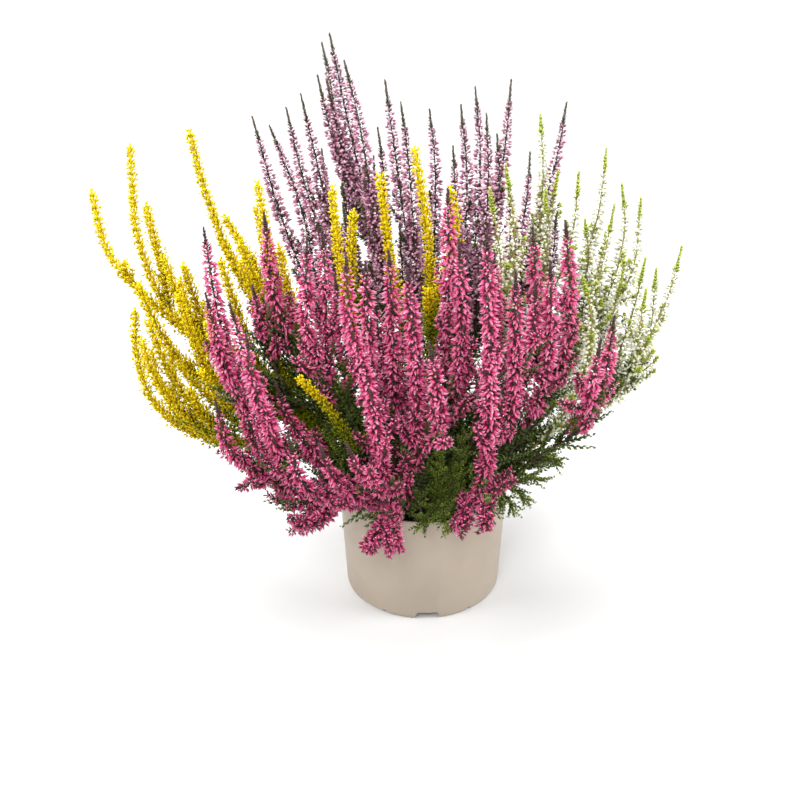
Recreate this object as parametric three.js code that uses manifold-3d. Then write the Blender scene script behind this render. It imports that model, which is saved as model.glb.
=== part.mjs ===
// Potted heather: four kinds of bud-blooming heather grown together in one plastic nursery pot.
// Millimetres, +Z up, with the front of the plant towards -Y.
// The origin is on the surface that the pot stands on, at the middle of its base.

import * as THREE from "three";
import { mergeVertices } from "three/addons/utils/BufferGeometryUtils.js";
import Module from "manifold-3d";

const wasm = await Module();
wasm.setup();

// Driving dimensions of the pot, a 12 cm trade size
const RIM_RADIUS = 61;
const BASE_RADIUS = 55.5;
const POT_HEIGHT = 88;
const WALL = 1.6;
const BASE_ROUNDING = 2.2;
const POT_SIDES = 32;

// The pot stands on a middle pad and an outer ring, with a drain gutter between them
const PAD_RADIUS = 43;
const GUTTER_OUTER_RADIUS = 50;
const GUTTER_HEIGHT = 4.5;
const GUTTER_DRAFT = 1;
const FLOOR = 2;
const FLOOR_ROUNDING = 3;

// Notches that let water out under the standing ring, by their bearing from the front, in degrees
const WIDE_NOTCH = { width: 14.5, height: 5.4, slant: 2.2, bearings: [3, 183] };
const SMALL_NOTCH = { width: 3.2, height: 2.6, slant: 0.8, bearings: [-63, -30, 36, 69, 117, 150, 216, 249] };
const SHALLOW_NOTCH = { width: 4, height: 1.1, slant: 1, bearings: [-46, -14, 20, 52] };
const NOTCH_CUT_BELOW = 1;
const NOTCH_CUT_BEHIND = 2;
const DRAIN_HOLE = { radius: 2.8, sides: 6, bearings: [-30, 36, 150, 216] };

// The soil
const CLEARANCE = 0.3;
const SOIL_TOP = POT_HEIGHT - 12;
const SOIL_SIDES = 24;
// The flats of the soil's sides would cross the pot's flats at this much less clearance
const SOIL_SHRINK = 0.25;
const SOIL_FOOT = { width: 2, height: 4 };
const SOIL_BROW = { width: 3, height: 2 };

// A woody stem is four-sided, and stands in a plain hole in the soil
const STEM_RADIUS = 1.3;
const TWIG_RADIUS = 0.8;
const HOLE_DEPTH = 9;
const HOLE_RADIUS = STEM_RADIUS + 0.5;
const HOLE_SIDES = 4;
const HOLE_CUT_ABOVE = 10;
const STEM_RISE = 2;

// Colours and surface finish
const potColour = new THREE.MeshStandardMaterial({ color: 0xbaac9d, roughness: 0.55, metalness: 0 });
const soilColour = new THREE.MeshStandardMaterial({ color: 0x2a1d14, roughness: 0.95, metalness: 0 });
const goldColour = new THREE.MeshStandardMaterial({ color: 0xe0c21c, roughness: 0.7, metalness: 0 });
const lilacColour = new THREE.MeshStandardMaterial({ color: 0xa8799f, roughness: 0.7, metalness: 0 });
const whiteColour = new THREE.MeshStandardMaterial({ color: 0xe6e6b8, roughness: 0.7, metalness: 0 });
const pinkColour = new THREE.MeshStandardMaterial({ color: 0xd9527e, roughness: 0.7, metalness: 0 });
const greenColour = new THREE.MeshStandardMaterial({ color: 0x3d4a1c, roughness: 0.75, metalness: 0 });

// How each kind of shoot is clothed. Buds or scale leaves stand in four ranks, a pair to each step
// up the stem: reach is how far they stand out, core the stem under them, and lift how far they point up.
// They cover the shoot from the share bloomFrom of its length to its tip, which thins from tipFrom on.
const gold = {
  colour: goldColour, reach: 3.6, core: 1.2, step: 10.4, lift: [5, 5], leaf: 2.2,
  bloomFrom: 0.16, tipFrom: 0.9, tipReach: 2.6,
};
const lilac = {
  colour: lilacColour, reach: 5.2, core: 1.3, step: 9.6, lift: [1, 4.5], leaf: 2.0,
  bloomFrom: 0.46, tipFrom: 0.86, tipReach: 1.9,
};
const white = {
  colour: whiteColour, reach: 5.2, core: 1.3, step: 9.2, lift: [1, 4.5], leaf: 2.2,
  bloomFrom: 0.4, tipFrom: 0.86, tipReach: 2.0,
};
const pink = {
  colour: pinkColour, reach: 7.2, core: 1.9, step: 9.3, lift: [-4, 4.5], leaf: 2.0,
  bloomFrom: 0.26, tipFrom: 0.87, tipReach: 2.2,
};
const green = {
  colour: greenColour, reach: 3.6, core: 1.2, step: 8.8, lift: [4, 4], leaf: 2.2,
  bloomFrom: 0.14, tipFrom: 0.8, tipReach: 2.6,
};
const STEM_STEP = 26;
const TIP_STEP = 7;
const BARE_STEM_RADIUS = 0.9 * STEM_RADIUS;

// On each ring the corners stagger along the shoot, by these shares of a step, so that facing buds alternate
const STAGGER = [-0.25, 0, 0.25, 0];
const TAPER_LENGTH = 18;

// What is left at the very tip of the stem's thickness and of a bud's reach
const TIP_CORE = 0.55;
const TIP_BUD = 0.35;

// No two buds reach equally far: this is the least share of the full reach, and how much a draw adds
const LEAST_BUD = 0.82;
const BUD_VARIATION = 0.36;

// A shoot given by its end alone bows outwards: where its middle lies, as shares of the way across and up
const BOW_ACROSS = 0.62;
const BOW_UP = 0.45;

// The planting plan: each spray's kind, its name, its foot on the soil (x, y), and its shoots.
// A shoot runs through the points listed and ends at the last one. The first shoot of a spray starts
// at the foot, and the others fork from it, at the share of its length that comes before their points.
const plantingPlan = [
  // Gold-leaved heather, on the left, with shoots of it up through the middle
  [gold, "gold_far_left", [-36, 7],
    [0, [-90, 6, 138], [-180, 6, 218], [-214, 8, 262], [-223, 10, 308]],
    [0.76, [-203, -5, 262]]],
  [gold, "gold_left_high", [-48, 10],
    [0, [-122, 22, 170], [-171, 26, 198], [-196, 32, 254], [-199, 36, 328]],
    [0.6, [-180, 18, 242], [-188, 16, 294]],
    [0.45, [-164, 4, 256]]],
  [gold, "gold_left_tall", [-44, 21],
    [0, [-88, 30, 160], [-129, 38, 230], [-150, 46, 288], [-160, 50, 335]],
    [0.45, [-116, 26, 240], [-137, 30, 279]],
    [0.3, [-112, 16, 226], [-126, 12, 268]]],
  [gold, "gold_left_low", [-49, -2],
    [0, [-60, -3, 102], [-92, -5, 112], [-155, -10, 126], [-188, -12, 156],
      [-198, -12, 198], [-197, -10, 228]],
    [0.6, [-176, -2, 190]]],
  [gold, "gold_left_front", [-47, -13],
    [0, [-58, -15, 102], [-94, -20, 120], [-158, -26, 144], [-180, -30, 180], [-185, -28, 206]],
    [0.55, [-160, -36, 182]]],
  [gold, "gold_left_inner", [-37, -5],
    [0, [-87, -8, 136], [-141, -8, 168], [-158, -7, 213], [-166, -6, 250]]],
  [gold, "gold_left_fan", [-33, -16],
    [0, [-84, -20, 140], [-130, -24, 174], [-147, -26, 229]],
    [0.5, [-138, -32, 168], [-152, -36, 196]]],
  [gold, "gold_behind_pink", [-21, 11],
    [0, [-84, 6, 190], [-102, 8, 250], [-112, 10, 314]],
    [0.45, [-92, -2, 236], [-98, -4, 274]]],
  [gold, "gold_centre_left", [-19, -13],
    [0, [-47, -8, 200], [-58, -10, 272], [-61, -10, 320]],
    [0.5, [-50, 4, 256], [-48, 6, 295]],
    [0.2, [-50, -46, 146], [-66, -60, 182], [-84, -66, 208]]],
  [gold, "gold_centre", [-3, -8],
    [0, [-14, 2, 204], [-24, 2, 268], [-30, 0, 324]]],
  [gold, "gold_centre_right", [6, 4],
    [0, [4, 12, 215], [2, 14, 277], [-7, 15, 336]]],
  [gold, "gold_right", [9, -12],
    [0, [6, -6, 188], [8, -12, 237], [20, -14, 288], [16, -14, 323]],
    [0.5, [2, -20, 249]]],
  [gold, "gold_back", [-37, 32],
    [0, [-78, 76, 150], [-112, 108, 196], [-122, 118, 244]],
    [0.5, [-124, 88, 190], [-148, 100, 228]]],

  // Lilac heather, the tallest, along the back
  [lilac, "lilac_left", [-31, 18],
    [0, [-70, 36, 190], [-98, 55, 261], [-118, 70, 335]],
    [0.45, [-86, 74, 262], [-108, 94, 318]]],
  [lilac, "lilac_left_pair", [-23, 28],
    [0, [-58, 42, 212], [-82, 54, 290], [-94, 60, 346]],
    [0.4, [-70, 80, 270], [-86, 98, 341]]],
  [lilac, "lilac_tallest", [-13, 34],
    [0, [-32, 62, 235], [-50, 84, 311], [-65, 96, 386]],
    [0.5, [-62, 74, 312], [-73, 78, 362]]],
  [lilac, "lilac_upright", [-12, 21],
    [0, [-32, 42, 250], [-44, 55, 335], [-54, 60, 380]],
    [0.5, [-28, 54, 300], [-32, 60, 332]]],
  [lilac, "lilac_middle", [0, 24],
    [0, [-6, 42, 240], [-11, 52, 310], [-16, 56, 351]],
    [0.45, [-16, 62, 280], [-27, 80, 358]]],
  [lilac, "lilac_middle_back", [-2, 37],
    [0, [8, 78, 240], [8, 95, 290], [4, 100, 328]],
    [0.4, [2, 106, 210], [-4, 138, 262]]],
  [lilac, "lilac_right_of_middle", [12, 21],
    [0, [26, 45, 222], [30, 62, 290], [25, 70, 344]],
    [0.5, [22, 36, 280], [19, 34, 329]]],
  [lilac, "lilac_right_back", [10, 35],
    [0, [38, 78, 246], [40, 96, 300], [36, 105, 342]],
    [0.4, [46, 104, 210], [56, 130, 256]]],
  [lilac, "lilac_right", [21, 10],
    [0, [40, 34, 228], [44, 50, 296], [42, 58, 343]]],
  [lilac, "lilac_right_tall", [21, 30],
    [0, [48, 58, 254], [57, 78, 316], [60, 90, 354]],
    [0.55, [52, 62, 285], [50, 64, 325]]],
  [lilac, "lilac_right_front", [24, -2],
    [0, [58, 22, 225], [70, 40, 286], [72, 48, 319]],
    [0.5, [58, 12, 270], [56, 16, 313]]],
  [lilac, "lilac_far_right", [31, 38],
    [0, [74, 58, 236], [92, 74, 300], [98, 80, 341]],
    [0.4, [84, 96, 216], [98, 126, 262]]],
  [lilac, "lilac_back_left", [-27, 41],
    [0, [-52, 94, 190], [-68, 128, 232], [-74, 140, 280]],
    [0.45, [-34, 118, 222], [-36, 136, 276]]],

  // White-budded heather with yellow-green tips, on the right
  [white, "white_front", [15, -18],
    [0, [50, -18, 200], [50, -20, 272], [42, -20, 323]],
    [0.55, [60, -4, 276], [53, 0, 331]]],
  [white, "white_tall", [30, 20],
    [0, [76, 38, 236], [82, 54, 296], [79, 62, 340]],
    [0.6, [92, 50, 303]]],
  [white, "white_middle", [36, 9],
    [0, [80, 14, 218], [84, 22, 265], [82, 28, 300]],
    [0.45, [100, 22, 262], [104, 28, 313]]],
  [white, "white_right_tall", [40, 28],
    [0, [102, 28, 217], [120, 42, 275], [124, 50, 320]],
    [0.5, [112, 14, 248], [108, 10, 286]]],
  [white, "white_right_front", [37, -3],
    [0, [86, -8, 150], [112, 0, 214], [122, 6, 262], [127, 10, 297]]],
  [white, "white_right_pair", [46, 17],
    [0, [122, 20, 206], [138, 34, 264], [135, 40, 299]],
    [0.5, [142, 14, 243], [146, 20, 297]]],
  [white, "white_far_right", [49, 6],
    [0, [60, 5, 106], [98, 2, 130], [138, -6, 160], [154, -5, 200], [157, 0, 254]],
    [0.6, [145, -20, 212], [148, -22, 250]],
    [0.5, [162, 14, 205], [172, 22, 232], [177, 26, 258]]],
  [white, "white_low_front", [33, -15],
    [0, [84, -24, 136], [106, -26, 176], [112, -30, 228], [104, -32, 266]]],

  // Dark pink heather, in front, with its lower shoots flopping over the rim
  [pink, "pink_far_left", [-43, -24],
    [0, [-62, -32, 102], [-84, -38, 82], [-113, -42, 136], [-136, -38, 228], [-145, -30, 300]],
    [0.35, [-116, -58, 130], [-132, -64, 152], [-140, -66, 190]],
    [0.55, [-132, -54, 205], [-144, -50, 262]]],
  [pink, "pink_left", [-27, -41],
    [0, [-38, -48, 104], [-56, -56, 104], [-74, -60, 96], [-94, -64, 130],
      [-114, -62, 199], [-128, -56, 258]],
    [0.22, [-74, -70, 84], [-88, -70, 84]],
    [0.45, [-102, -80, 172], [-112, -84, 214], [-116, -82, 250]]],
  [pink, "pink_low_left", [-15, -47],
    [0, [-22, -54, 103], [-42, -70, 110], [-66, -82, 122], [-84, -92, 147], [-90, -94, 180]],
    [0.3, [-50, -84, 128], [-62, -96, 152], [-70, -98, 176]]],
  [pink, "pink_left_column", [-24, -2],
    [0, [-76, -12, 168], [-100, -16, 236], [-106, -20, 306]]],
  [pink, "pink_left_middle", [-26, -26],
    [0, [-60, -36, 160], [-78, -42, 231], [-77, -42, 298]],
    [0.5, [-66, -26, 250], [-68, -24, 296]]],
  [pink, "pink_front", [-10, -36],
    [0, [-22, -68, 112], [-28, -84, 146], [-36, -84, 205], [-48, -82, 252], [-51, -76, 304]],
    [0.16, [-26, -88, 104], [-32, -93, 80]],
    [0.25, [-44, -98, 156], [-52, -102, 180]]],
  [pink, "pink_front_second", [-18, -32],
    [0, [-34, -54, 150], [-37, -62, 227], [-39, -62, 292]]],
  [pink, "pink_front_third", [-10, -22],
    [0, [-20, -36, 153], [-21, -45, 232], [-24, -50, 293]]],
  [pink, "pink_front_middle", [-2, -49],
    [0, [-4, -60, 134], [-6, -70, 209], [-12, -74, 293]],
    [0.35, [8, -74, 166], [8, -86, 212], [2, -90, 248]]],
  [pink, "pink_middle", [3, -24],
    [0, [12, -22, 158], [16, -27, 252], [14, -32, 329]]],
  [pink, "pink_middle_front", [2, -37],
    [0, [18, -46, 168], [24, -54, 244], [21, -58, 305]]],
  [pink, "pink_front_right", [21, -44],
    [0, [26, -54, 104], [36, -70, 118], [42, -78, 150], [42, -80, 220], [38, -75, 320]],
    [0.14, [42, -86, 114], [40, -90, 100]],
    [0.12, [28, -82, 108], [22, -90, 94]]],
  [pink, "pink_right_slender", [14, -34],
    [0, [40, -42, 170], [46, -48, 242], [44, -50, 294]]],
  [pink, "pink_right_column", [32, -37],
    [0, [58, -60, 180], [58, -70, 245], [57, -74, 290]],
    [0.6, [70, -60, 238], [71, -58, 275]]],
  [pink, "pink_right_second", [25, -26],
    [0, [74, -42, 160], [82, -54, 234], [80, -60, 291]]],
  [pink, "pink_right_tall", [28, -14],
    [0, [84, -26, 172], [96, -38, 244], [90, -42, 311]],
    [0.42, [76, -24, 230], [70, -30, 300]]],
  [pink, "pink_far_right", [45, -18],
    [0, [76, -34, 122], [108, -44, 156], [120, -52, 201], [124, -54, 247]],
    [0.6, [110, -66, 196], [114, -72, 240]]],
  [pink, "pink_back", [8, 48],
    [0, [12, 57, 102], [24, 92, 126], [34, 136, 164], [34, 152, 212]],
    [0.45, [4, 128, 160], [-4, 150, 206]],
    [0.5, [60, 120, 160], [76, 128, 204]]],

  // Dark green leafy shoots, low down, which hide the soil and spread over the rim
  [green, "green_front", [10, -48],
    [0, [12, -64, 104], [14, -78, 106], [16, -86, 96]],
    [0.5, [2, -78, 106], [-5, -84, 98]],
    [0.4, [18, -72, 108], [23, -76, 96]],
    [0.2, [10, -57, 124], [10, -61, 150]],
    [0.2, [20, -53, 114], [28, -53, 158]]],
  [green, "green_front_right", [40, -28],
    [0, [48, -37, 105], [62, -48, 108], [74, -54, 98]],
    [0.5, [58, -60, 106], [62, -68, 98]],
    [0.5, [74, -38, 110], [86, -40, 108]]],
  [green, "green_right", [49, -6],
    [0, [66, -8, 106], [82, -12, 110], [98, -14, 104]],
    [0.5, [84, -22, 116], [96, -26, 116]],
    [0.5, [80, -2, 104], [92, 2, 98]]],
  [green, "green_back_right", [20, 45],
    [0, [30, 61, 106], [37, 73, 106], [42, 84, 95]],
    [0.5, [54, 66, 108], [66, 66, 102]],
    [0.25, [30, 62, 124], [34, 68, 144]]],
  [green, "green_back_left", [-16, 46],
    [0, [-24, 64, 104], [-28, 76, 104], [-30, 86, 94]],
    [0.5, [-46, 66, 108], [-58, 68, 102]],
    [0.25, [-26, 62, 124], [-30, 68, 144]]],
  [green, "green_left", [-36, -33],
    [0, [-50, -44, 108], [-62, -48, 108], [-70, -54, 96]],
    [0.5, [-66, -42, 104], [-78, -48, 94]],
    [0.3, [-60, -38, 132], [-70, -38, 150]]],
];

// A small repeatable draw from 0 to 1, so that no two buds stand out quite the same
function drawOf(seed) {
  const wave = Math.sin(seed * 12.9898) * 43758.5453;
  return wave - Math.floor(wave);
}

function smoothStep(value, low, high) {
  const share = Math.min(Math.max((value - low) / (high - low), 0), 1);
  return share * share * (3 - 2 * share);
}

function solidOf(positions, triangles) {
  const mesh = new wasm.Mesh({
    numProp: 3,
    vertProperties: new Float32Array(positions),
    triVerts: new Uint32Array(triangles),
  });
  return new wasm.Manifold(mesh);
}

function solidOfGeometry(geometry) {
  const bare = geometry.clone();
  bare.deleteAttribute("normal");
  bare.deleteAttribute("uv");
  const merged = mergeVertices(bare, 1e-4);
  return solidOf(merged.attributes.position.array, merged.index.array);
}

function geometryOfSolid(solid) {
  const { vertProperties, triVerts } = solid.getMesh();
  const geometry = new THREE.BufferGeometry();
  geometry.setAttribute("position", new THREE.BufferAttribute(vertProperties, 3));
  geometry.setIndex(new THREE.BufferAttribute(triVerts, 1));
  geometry.computeVertexNormals();
  return geometry;
}

function namedMesh(name, solid, material) {
  const mesh = new THREE.Mesh(geometryOfSolid(solid), material);
  mesh.name = name;
  return mesh;
}

// A solid of revolution about Z, from radius and height pairs that start and end on the axis
function turnedSolid(profile, sides) {
  const points = profile.map(([radius, height]) => new THREE.Vector2(radius, height));
  const lathe = new THREE.LatheGeometry(points, sides);
  lathe.rotateX(Math.PI / 2);
  return solidOfGeometry(lathe);
}

// The pot

function outerRadiusAt(height) {
  return BASE_RADIUS + ((RIM_RADIUS - BASE_RADIUS) * height) / POT_HEIGHT;
}

// A notch is a block with slanted ends that runs outwards through the standing ring
function notchSolid({ width, height, slant }, bearing) {
  const outline = new THREE.Shape([
    new THREE.Vector2(-width / 2 - slant, -NOTCH_CUT_BELOW),
    new THREE.Vector2(width / 2 + slant, -NOTCH_CUT_BELOW),
    new THREE.Vector2(width / 2, height),
    new THREE.Vector2(-width / 2, height),
  ]);
  const start = GUTTER_OUTER_RADIUS - NOTCH_CUT_BEHIND;
  const block = new THREE.ExtrudeGeometry(outline, { depth: RIM_RADIUS - start, bevelEnabled: false });
  block.translate(0, 0, start);
  block.rotateX(Math.PI / 2);
  block.rotateZ(THREE.MathUtils.degToRad(bearing));
  return solidOfGeometry(block);
}

function drainHoleSolid(bearing) {
  const middle = (PAD_RADIUS + GUTTER_OUTER_RADIUS) / 2;
  const { radius, sides } = DRAIN_HOLE;
  const hole = new THREE.CylinderGeometry(radius, radius, 4 * FLOOR, sides);
  hole.rotateX(Math.PI / 2);
  hole.translate(0, -middle, GUTTER_HEIGHT + FLOOR / 2);
  hole.rotateZ(THREE.MathUtils.degToRad(bearing));
  return solidOfGeometry(hole);
}

function makePot() {
  const gutterTop = GUTTER_HEIGHT + FLOOR;
  const innerWall = gutterTop + FLOOR_ROUNDING;
  let pot = turnedSolid([
    [0, 0],
    [PAD_RADIUS, 0],
    [PAD_RADIUS + GUTTER_DRAFT, GUTTER_HEIGHT],
    [GUTTER_OUTER_RADIUS - GUTTER_DRAFT, GUTTER_HEIGHT],
    [GUTTER_OUTER_RADIUS, 0],
    [outerRadiusAt(0) - BASE_ROUNDING, 0],
    [outerRadiusAt(BASE_ROUNDING), BASE_ROUNDING],
    [RIM_RADIUS, POT_HEIGHT],
    [RIM_RADIUS - WALL, POT_HEIGHT],
    [outerRadiusAt(innerWall) - WALL, innerWall],
    [outerRadiusAt(gutterTop) - WALL - FLOOR_ROUNDING / 2, gutterTop],
    [PAD_RADIUS - GUTTER_DRAFT, gutterTop],
    [PAD_RADIUS - 2 * GUTTER_DRAFT, FLOOR],
    [0, FLOOR],
  ], POT_SIDES);
  for (const notch of [WIDE_NOTCH, SMALL_NOTCH, SHALLOW_NOTCH]) {
    for (const bearing of notch.bearings) {
      pot = pot.subtract(notchSolid(notch, bearing));
    }
  }
  for (const bearing of DRAIN_HOLE.bearings) {
    pot = pot.subtract(drainHoleSolid(bearing));
  }
  return namedMesh("pot", pot, potColour);
}

// The soil, which fills the pot to a finger's breadth below the rim

function holeSolid([x, y]) {
  const height = HOLE_DEPTH + HOLE_CUT_ABOVE;
  const hole = new THREE.CylinderGeometry(HOLE_RADIUS, HOLE_RADIUS, height, HOLE_SIDES);
  hole.rotateX(Math.PI / 2);
  hole.translate(x, y, SOIL_TOP - HOLE_DEPTH + height / 2);
  return solidOfGeometry(hole);
}

function makeSoil() {
  const bottom = GUTTER_HEIGHT + FLOOR + CLEARANCE;
  const insideAt = (height) => outerRadiusAt(height) - WALL - CLEARANCE - SOIL_SHRINK;
  let soil = turnedSolid([
    [0, bottom],
    [insideAt(bottom) - SOIL_FOOT.width, bottom],
    [insideAt(bottom + SOIL_FOOT.height), bottom + SOIL_FOOT.height],
    [insideAt(SOIL_TOP - SOIL_BROW.height), SOIL_TOP - SOIL_BROW.height],
    [insideAt(SOIL_TOP) - SOIL_BROW.width, SOIL_TOP],
    [0, SOIL_TOP],
  ], SOIL_SIDES);
  for (const [, , foot] of plantingPlan) {
    soil = soil.subtract(holeSolid(foot));
  }
  return namedMesh("soil", soil, soilColour);
}

// The plants

// A shoot with one point given bows outwards, so that its upper half stands more upright
function shootCurve(root, points) {
  const path = [root, ...points.map((point) => new THREE.Vector3(...point))];
  if (points.length === 1) {
    const tip = path[1];
    path.splice(1, 0, new THREE.Vector3(
      THREE.MathUtils.lerp(root.x, tip.x, BOW_ACROSS),
      THREE.MathUtils.lerp(root.y, tip.y, BOW_ACROSS),
      THREE.MathUtils.lerp(root.z, tip.z, BOW_UP),
    ));
  }
  return new THREE.CatmullRomCurve3(path);
}

// Where the rings of a shoot lie, measured along it: far apart on the stem, close in the spike
function ringDistances(kind, length) {
  const distances = [0];
  let distance = 0;
  while (distance < length - TIP_STEP * 1.4) {
    const share = distance / length;
    let step = kind.step;
    if (share < kind.bloomFrom - 0.05) {
      step = Math.min(STEM_STEP, Math.max(kind.bloomFrom * length - distance, kind.step));
    } else if (share > kind.tipFrom) {
      step = TIP_STEP;
    }
    distance += step;
    distances.push(Math.min(distance, length - TIP_STEP * 0.7));
  }
  return distances;
}

// How far the buds or leaves stand out at a share of the shoot's length
function reachAt(kind, share) {
  const opened = smoothStep(share, kind.bloomFrom - 0.04, kind.bloomFrom + 0.06);
  const thinned = smoothStep(share, kind.tipFrom - 0.08, kind.tipFrom);
  const full = kind.reach + (kind.tipReach - kind.reach) * thinned;
  return kind.leaf + (full - kind.leaf) * opened;
}

// A shoot is a run of four-cornered rings. On each ring two facing corners are drawn out and up as a
// pair of buds and the other two lie at the stem, and the next ring has them the other way about.
function shootSolid(kind, curve, startRadius, rooted, seed) {
  const length = curve.getLength();
  const distances = ringDistances(kind, length);
  const positions = [];
  const triangles = [];
  const depth = new THREE.Vector3(0, 1, 0);
  if (rooted) {
    const foot = curve.getPoint(0);
    for (const [x, y] of [[-1, 0], [0, -1], [1, 0], [0, 1]]) {
      positions.push(foot.x + x * startRadius, foot.y + y * startRadius);
      positions.push(SOIL_TOP - HOLE_DEPTH + CLEARANCE);
    }
  }
  distances.forEach((distance, ring) => {
    const share = distance / length;
    const centre = curve.getPointAt(share);
    const along = rooted && ring === 0 ? new THREE.Vector3(0, 0, 1) : curve.getTangentAt(share);
    const across = new THREE.Vector3().crossVectors(along, depth).normalize();
    const facing = new THREE.Vector3().crossVectors(along, across);
    for (let corner = 0; corner < 4; corner += 1) {
      const turn = (corner * Math.PI) / 2;
      const isBud = ring > 0 && (ring + corner) % 2 === 0;
      const vary = LEAST_BUD + BUD_VARIATION * drawOf(seed * 31 + ring * 4 + corner);
      const blunt = Math.min(1, (length - distance) / TAPER_LENGTH);
      const core = share > kind.bloomFrom ? kind.core : BARE_STEM_RADIUS;
      let radius = ring === 0 ? startRadius : core * THREE.MathUtils.lerp(TIP_CORE, 1, blunt);
      let lift = ring === 0 ? 0 : STAGGER[corner] * kind.step * blunt;
      if (isBud) {
        radius = reachAt(kind, share) * vary * THREE.MathUtils.lerp(TIP_BUD, 1, blunt);
        lift += THREE.MathUtils.lerp(...kind.lift, share) * blunt * Math.min(1, radius / kind.reach);
      }
      positions.push(
        centre.x + (across.x * Math.cos(turn) + facing.x * Math.sin(turn)) * radius + along.x * lift,
        centre.y + (across.y * Math.cos(turn) + facing.y * Math.sin(turn)) * radius + along.y * lift,
        centre.z + (across.z * Math.cos(turn) + facing.z * Math.sin(turn)) * radius + along.z * lift,
      );
    }
  });
  const tip = curve.getPoint(1);
  positions.push(tip.x, tip.y, tip.z);

  const rings = distances.length + (rooted ? 1 : 0);
  const firstBudRing = rooted ? 1 : 0;
  triangles.push(0, 2, 1, 0, 3, 2);
  for (let ring = 0; ring + 1 < rings; ring += 1) {
    for (let corner = 0; corner < 4; corner += 1) {
      const a = ring * 4 + corner;
      const b = ring * 4 + ((corner + 1) % 4);
      const [c, d] = [a + 4, b + 4];
      // The quad is split between its two stem corners, so that each bud is a small pyramid
      if ((ring - firstBudRing + corner) % 2 === 0) {
        triangles.push(a, b, c, b, d, c);
      } else {
        triangles.push(a, b, d, a, d, c);
      }
    }
  }
  const last = (rings - 1) * 4;
  const apex = rings * 4;
  for (let corner = 0; corner < 4; corner += 1) {
    triangles.push(last + corner, last + ((corner + 1) % 4), apex);
  }
  return solidOf(positions, triangles);
}

function makeSpray([kind, name, foot, ...shoots], index) {
  let spray = null;
  let mainCurve = null;
  shoots.forEach(([fork, ...points], number) => {
    const seed = index * 9 + number;
    if (number === 0) {
      mainCurve = shootCurve(new THREE.Vector3(foot[0], foot[1], SOIL_TOP + STEM_RISE), points);
      spray = shootSolid(kind, mainCurve, STEM_RADIUS, true, seed);
    } else {
      const curve = shootCurve(mainCurve.getPointAt(fork), points);
      spray = spray.add(shootSolid(kind, curve, TWIG_RADIUS, false, seed));
    }
  });
  return namedMesh(name, spray, kind.colour);
}

const group = new THREE.Group();
group.add(makePot());
group.add(makeSoil());
plantingPlan.forEach((row, index) => group.add(makeSpray(row, index)));

export default group;
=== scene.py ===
"""Potted heather: four kinds of heather and their leafy side shoots, grown together in a nursery pot.
The script follows the real thing as it is put together: pot, soil, then one kind of plant after another.
Blender works in metres. The pot and the plants are laid out in millimetres, as a grower measures them."""

import math

import bpy
import numpy as np
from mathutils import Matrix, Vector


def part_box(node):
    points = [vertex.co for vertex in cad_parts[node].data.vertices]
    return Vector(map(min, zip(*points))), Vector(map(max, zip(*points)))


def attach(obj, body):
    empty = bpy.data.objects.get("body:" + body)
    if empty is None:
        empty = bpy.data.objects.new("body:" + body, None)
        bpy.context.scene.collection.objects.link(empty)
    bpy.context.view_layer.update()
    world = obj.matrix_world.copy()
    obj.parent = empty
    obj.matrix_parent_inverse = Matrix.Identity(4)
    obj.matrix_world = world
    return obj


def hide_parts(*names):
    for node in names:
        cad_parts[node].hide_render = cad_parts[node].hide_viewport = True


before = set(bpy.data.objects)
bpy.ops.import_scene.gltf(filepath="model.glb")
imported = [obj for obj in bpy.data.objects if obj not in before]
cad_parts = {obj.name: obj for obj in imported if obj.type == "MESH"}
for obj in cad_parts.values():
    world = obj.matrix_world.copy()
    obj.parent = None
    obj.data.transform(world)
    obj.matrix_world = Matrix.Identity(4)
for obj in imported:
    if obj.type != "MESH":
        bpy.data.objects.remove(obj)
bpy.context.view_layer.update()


# The pot is one thin shell of polypropylene in light taupe, moulded in one shot, smooth and softly matt. It
# stands on a ring and a middle pad. Water runs through four holes into the gutter between them, and out
# by the notches in the ring.

MILLIMETRE = 0.001

pot_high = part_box("pot")[1]
pot_height = pot_high.z / MILLIMETRE
rim_radius = pot_high.x / MILLIMETRE
pot_base_radius = 55.5
pot_wall = 1.6
rim_rounding = 0.7
base_rounding = 2.2
pad_radius = 43
gutter_outer_radius = 50
gutter_height = 4.5
gutter_draft = 1
pot_floor = 2
floor_rounding = 3
# The wall is straight from just above the notches to just below the rim
straight_wall = (6, pot_height - 3)
inner_lip_depth = 12
inner_lip_step = 0.3

# Edges that turn by more degrees than this are left crisp
sharp_edge = 35

# Bearings run from the front of the pot towards its right, in degrees
wide_notch = {"width": 14.5, "height": 5.4, "slant": 2.2, "bearings": (3, 183)}
small_notch = {"width": 3.2, "height": 2.6, "slant": 0.8, "bearings": (-63, -30, 36, 69, 117, 150, 216, 249)}
shallow_notch = {"width": 4, "height": 1.1, "slant": 1, "bearings": (-46, -14, 20, 52)}
notches = (wide_notch, small_notch, shallow_notch)
drain_hole = {"radius": 2.8, "corners": 24, "bearings": (-30, 36, 150, 216)}
columns_around_pot = 180
columns_across_notch = 8


def wall_radius(height):
    return pot_base_radius + (rim_radius - pot_base_radius) * height / pot_height


def arc(centre, radius, start, end, steps):
    """Points on part of a circle, from one angle to another, as radius and height pairs."""
    angles = np.radians(np.linspace(start, end, steps))
    return [(centre[0] + radius * math.cos(a), centre[1] + radius * math.sin(a)) for a in angles]


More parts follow.
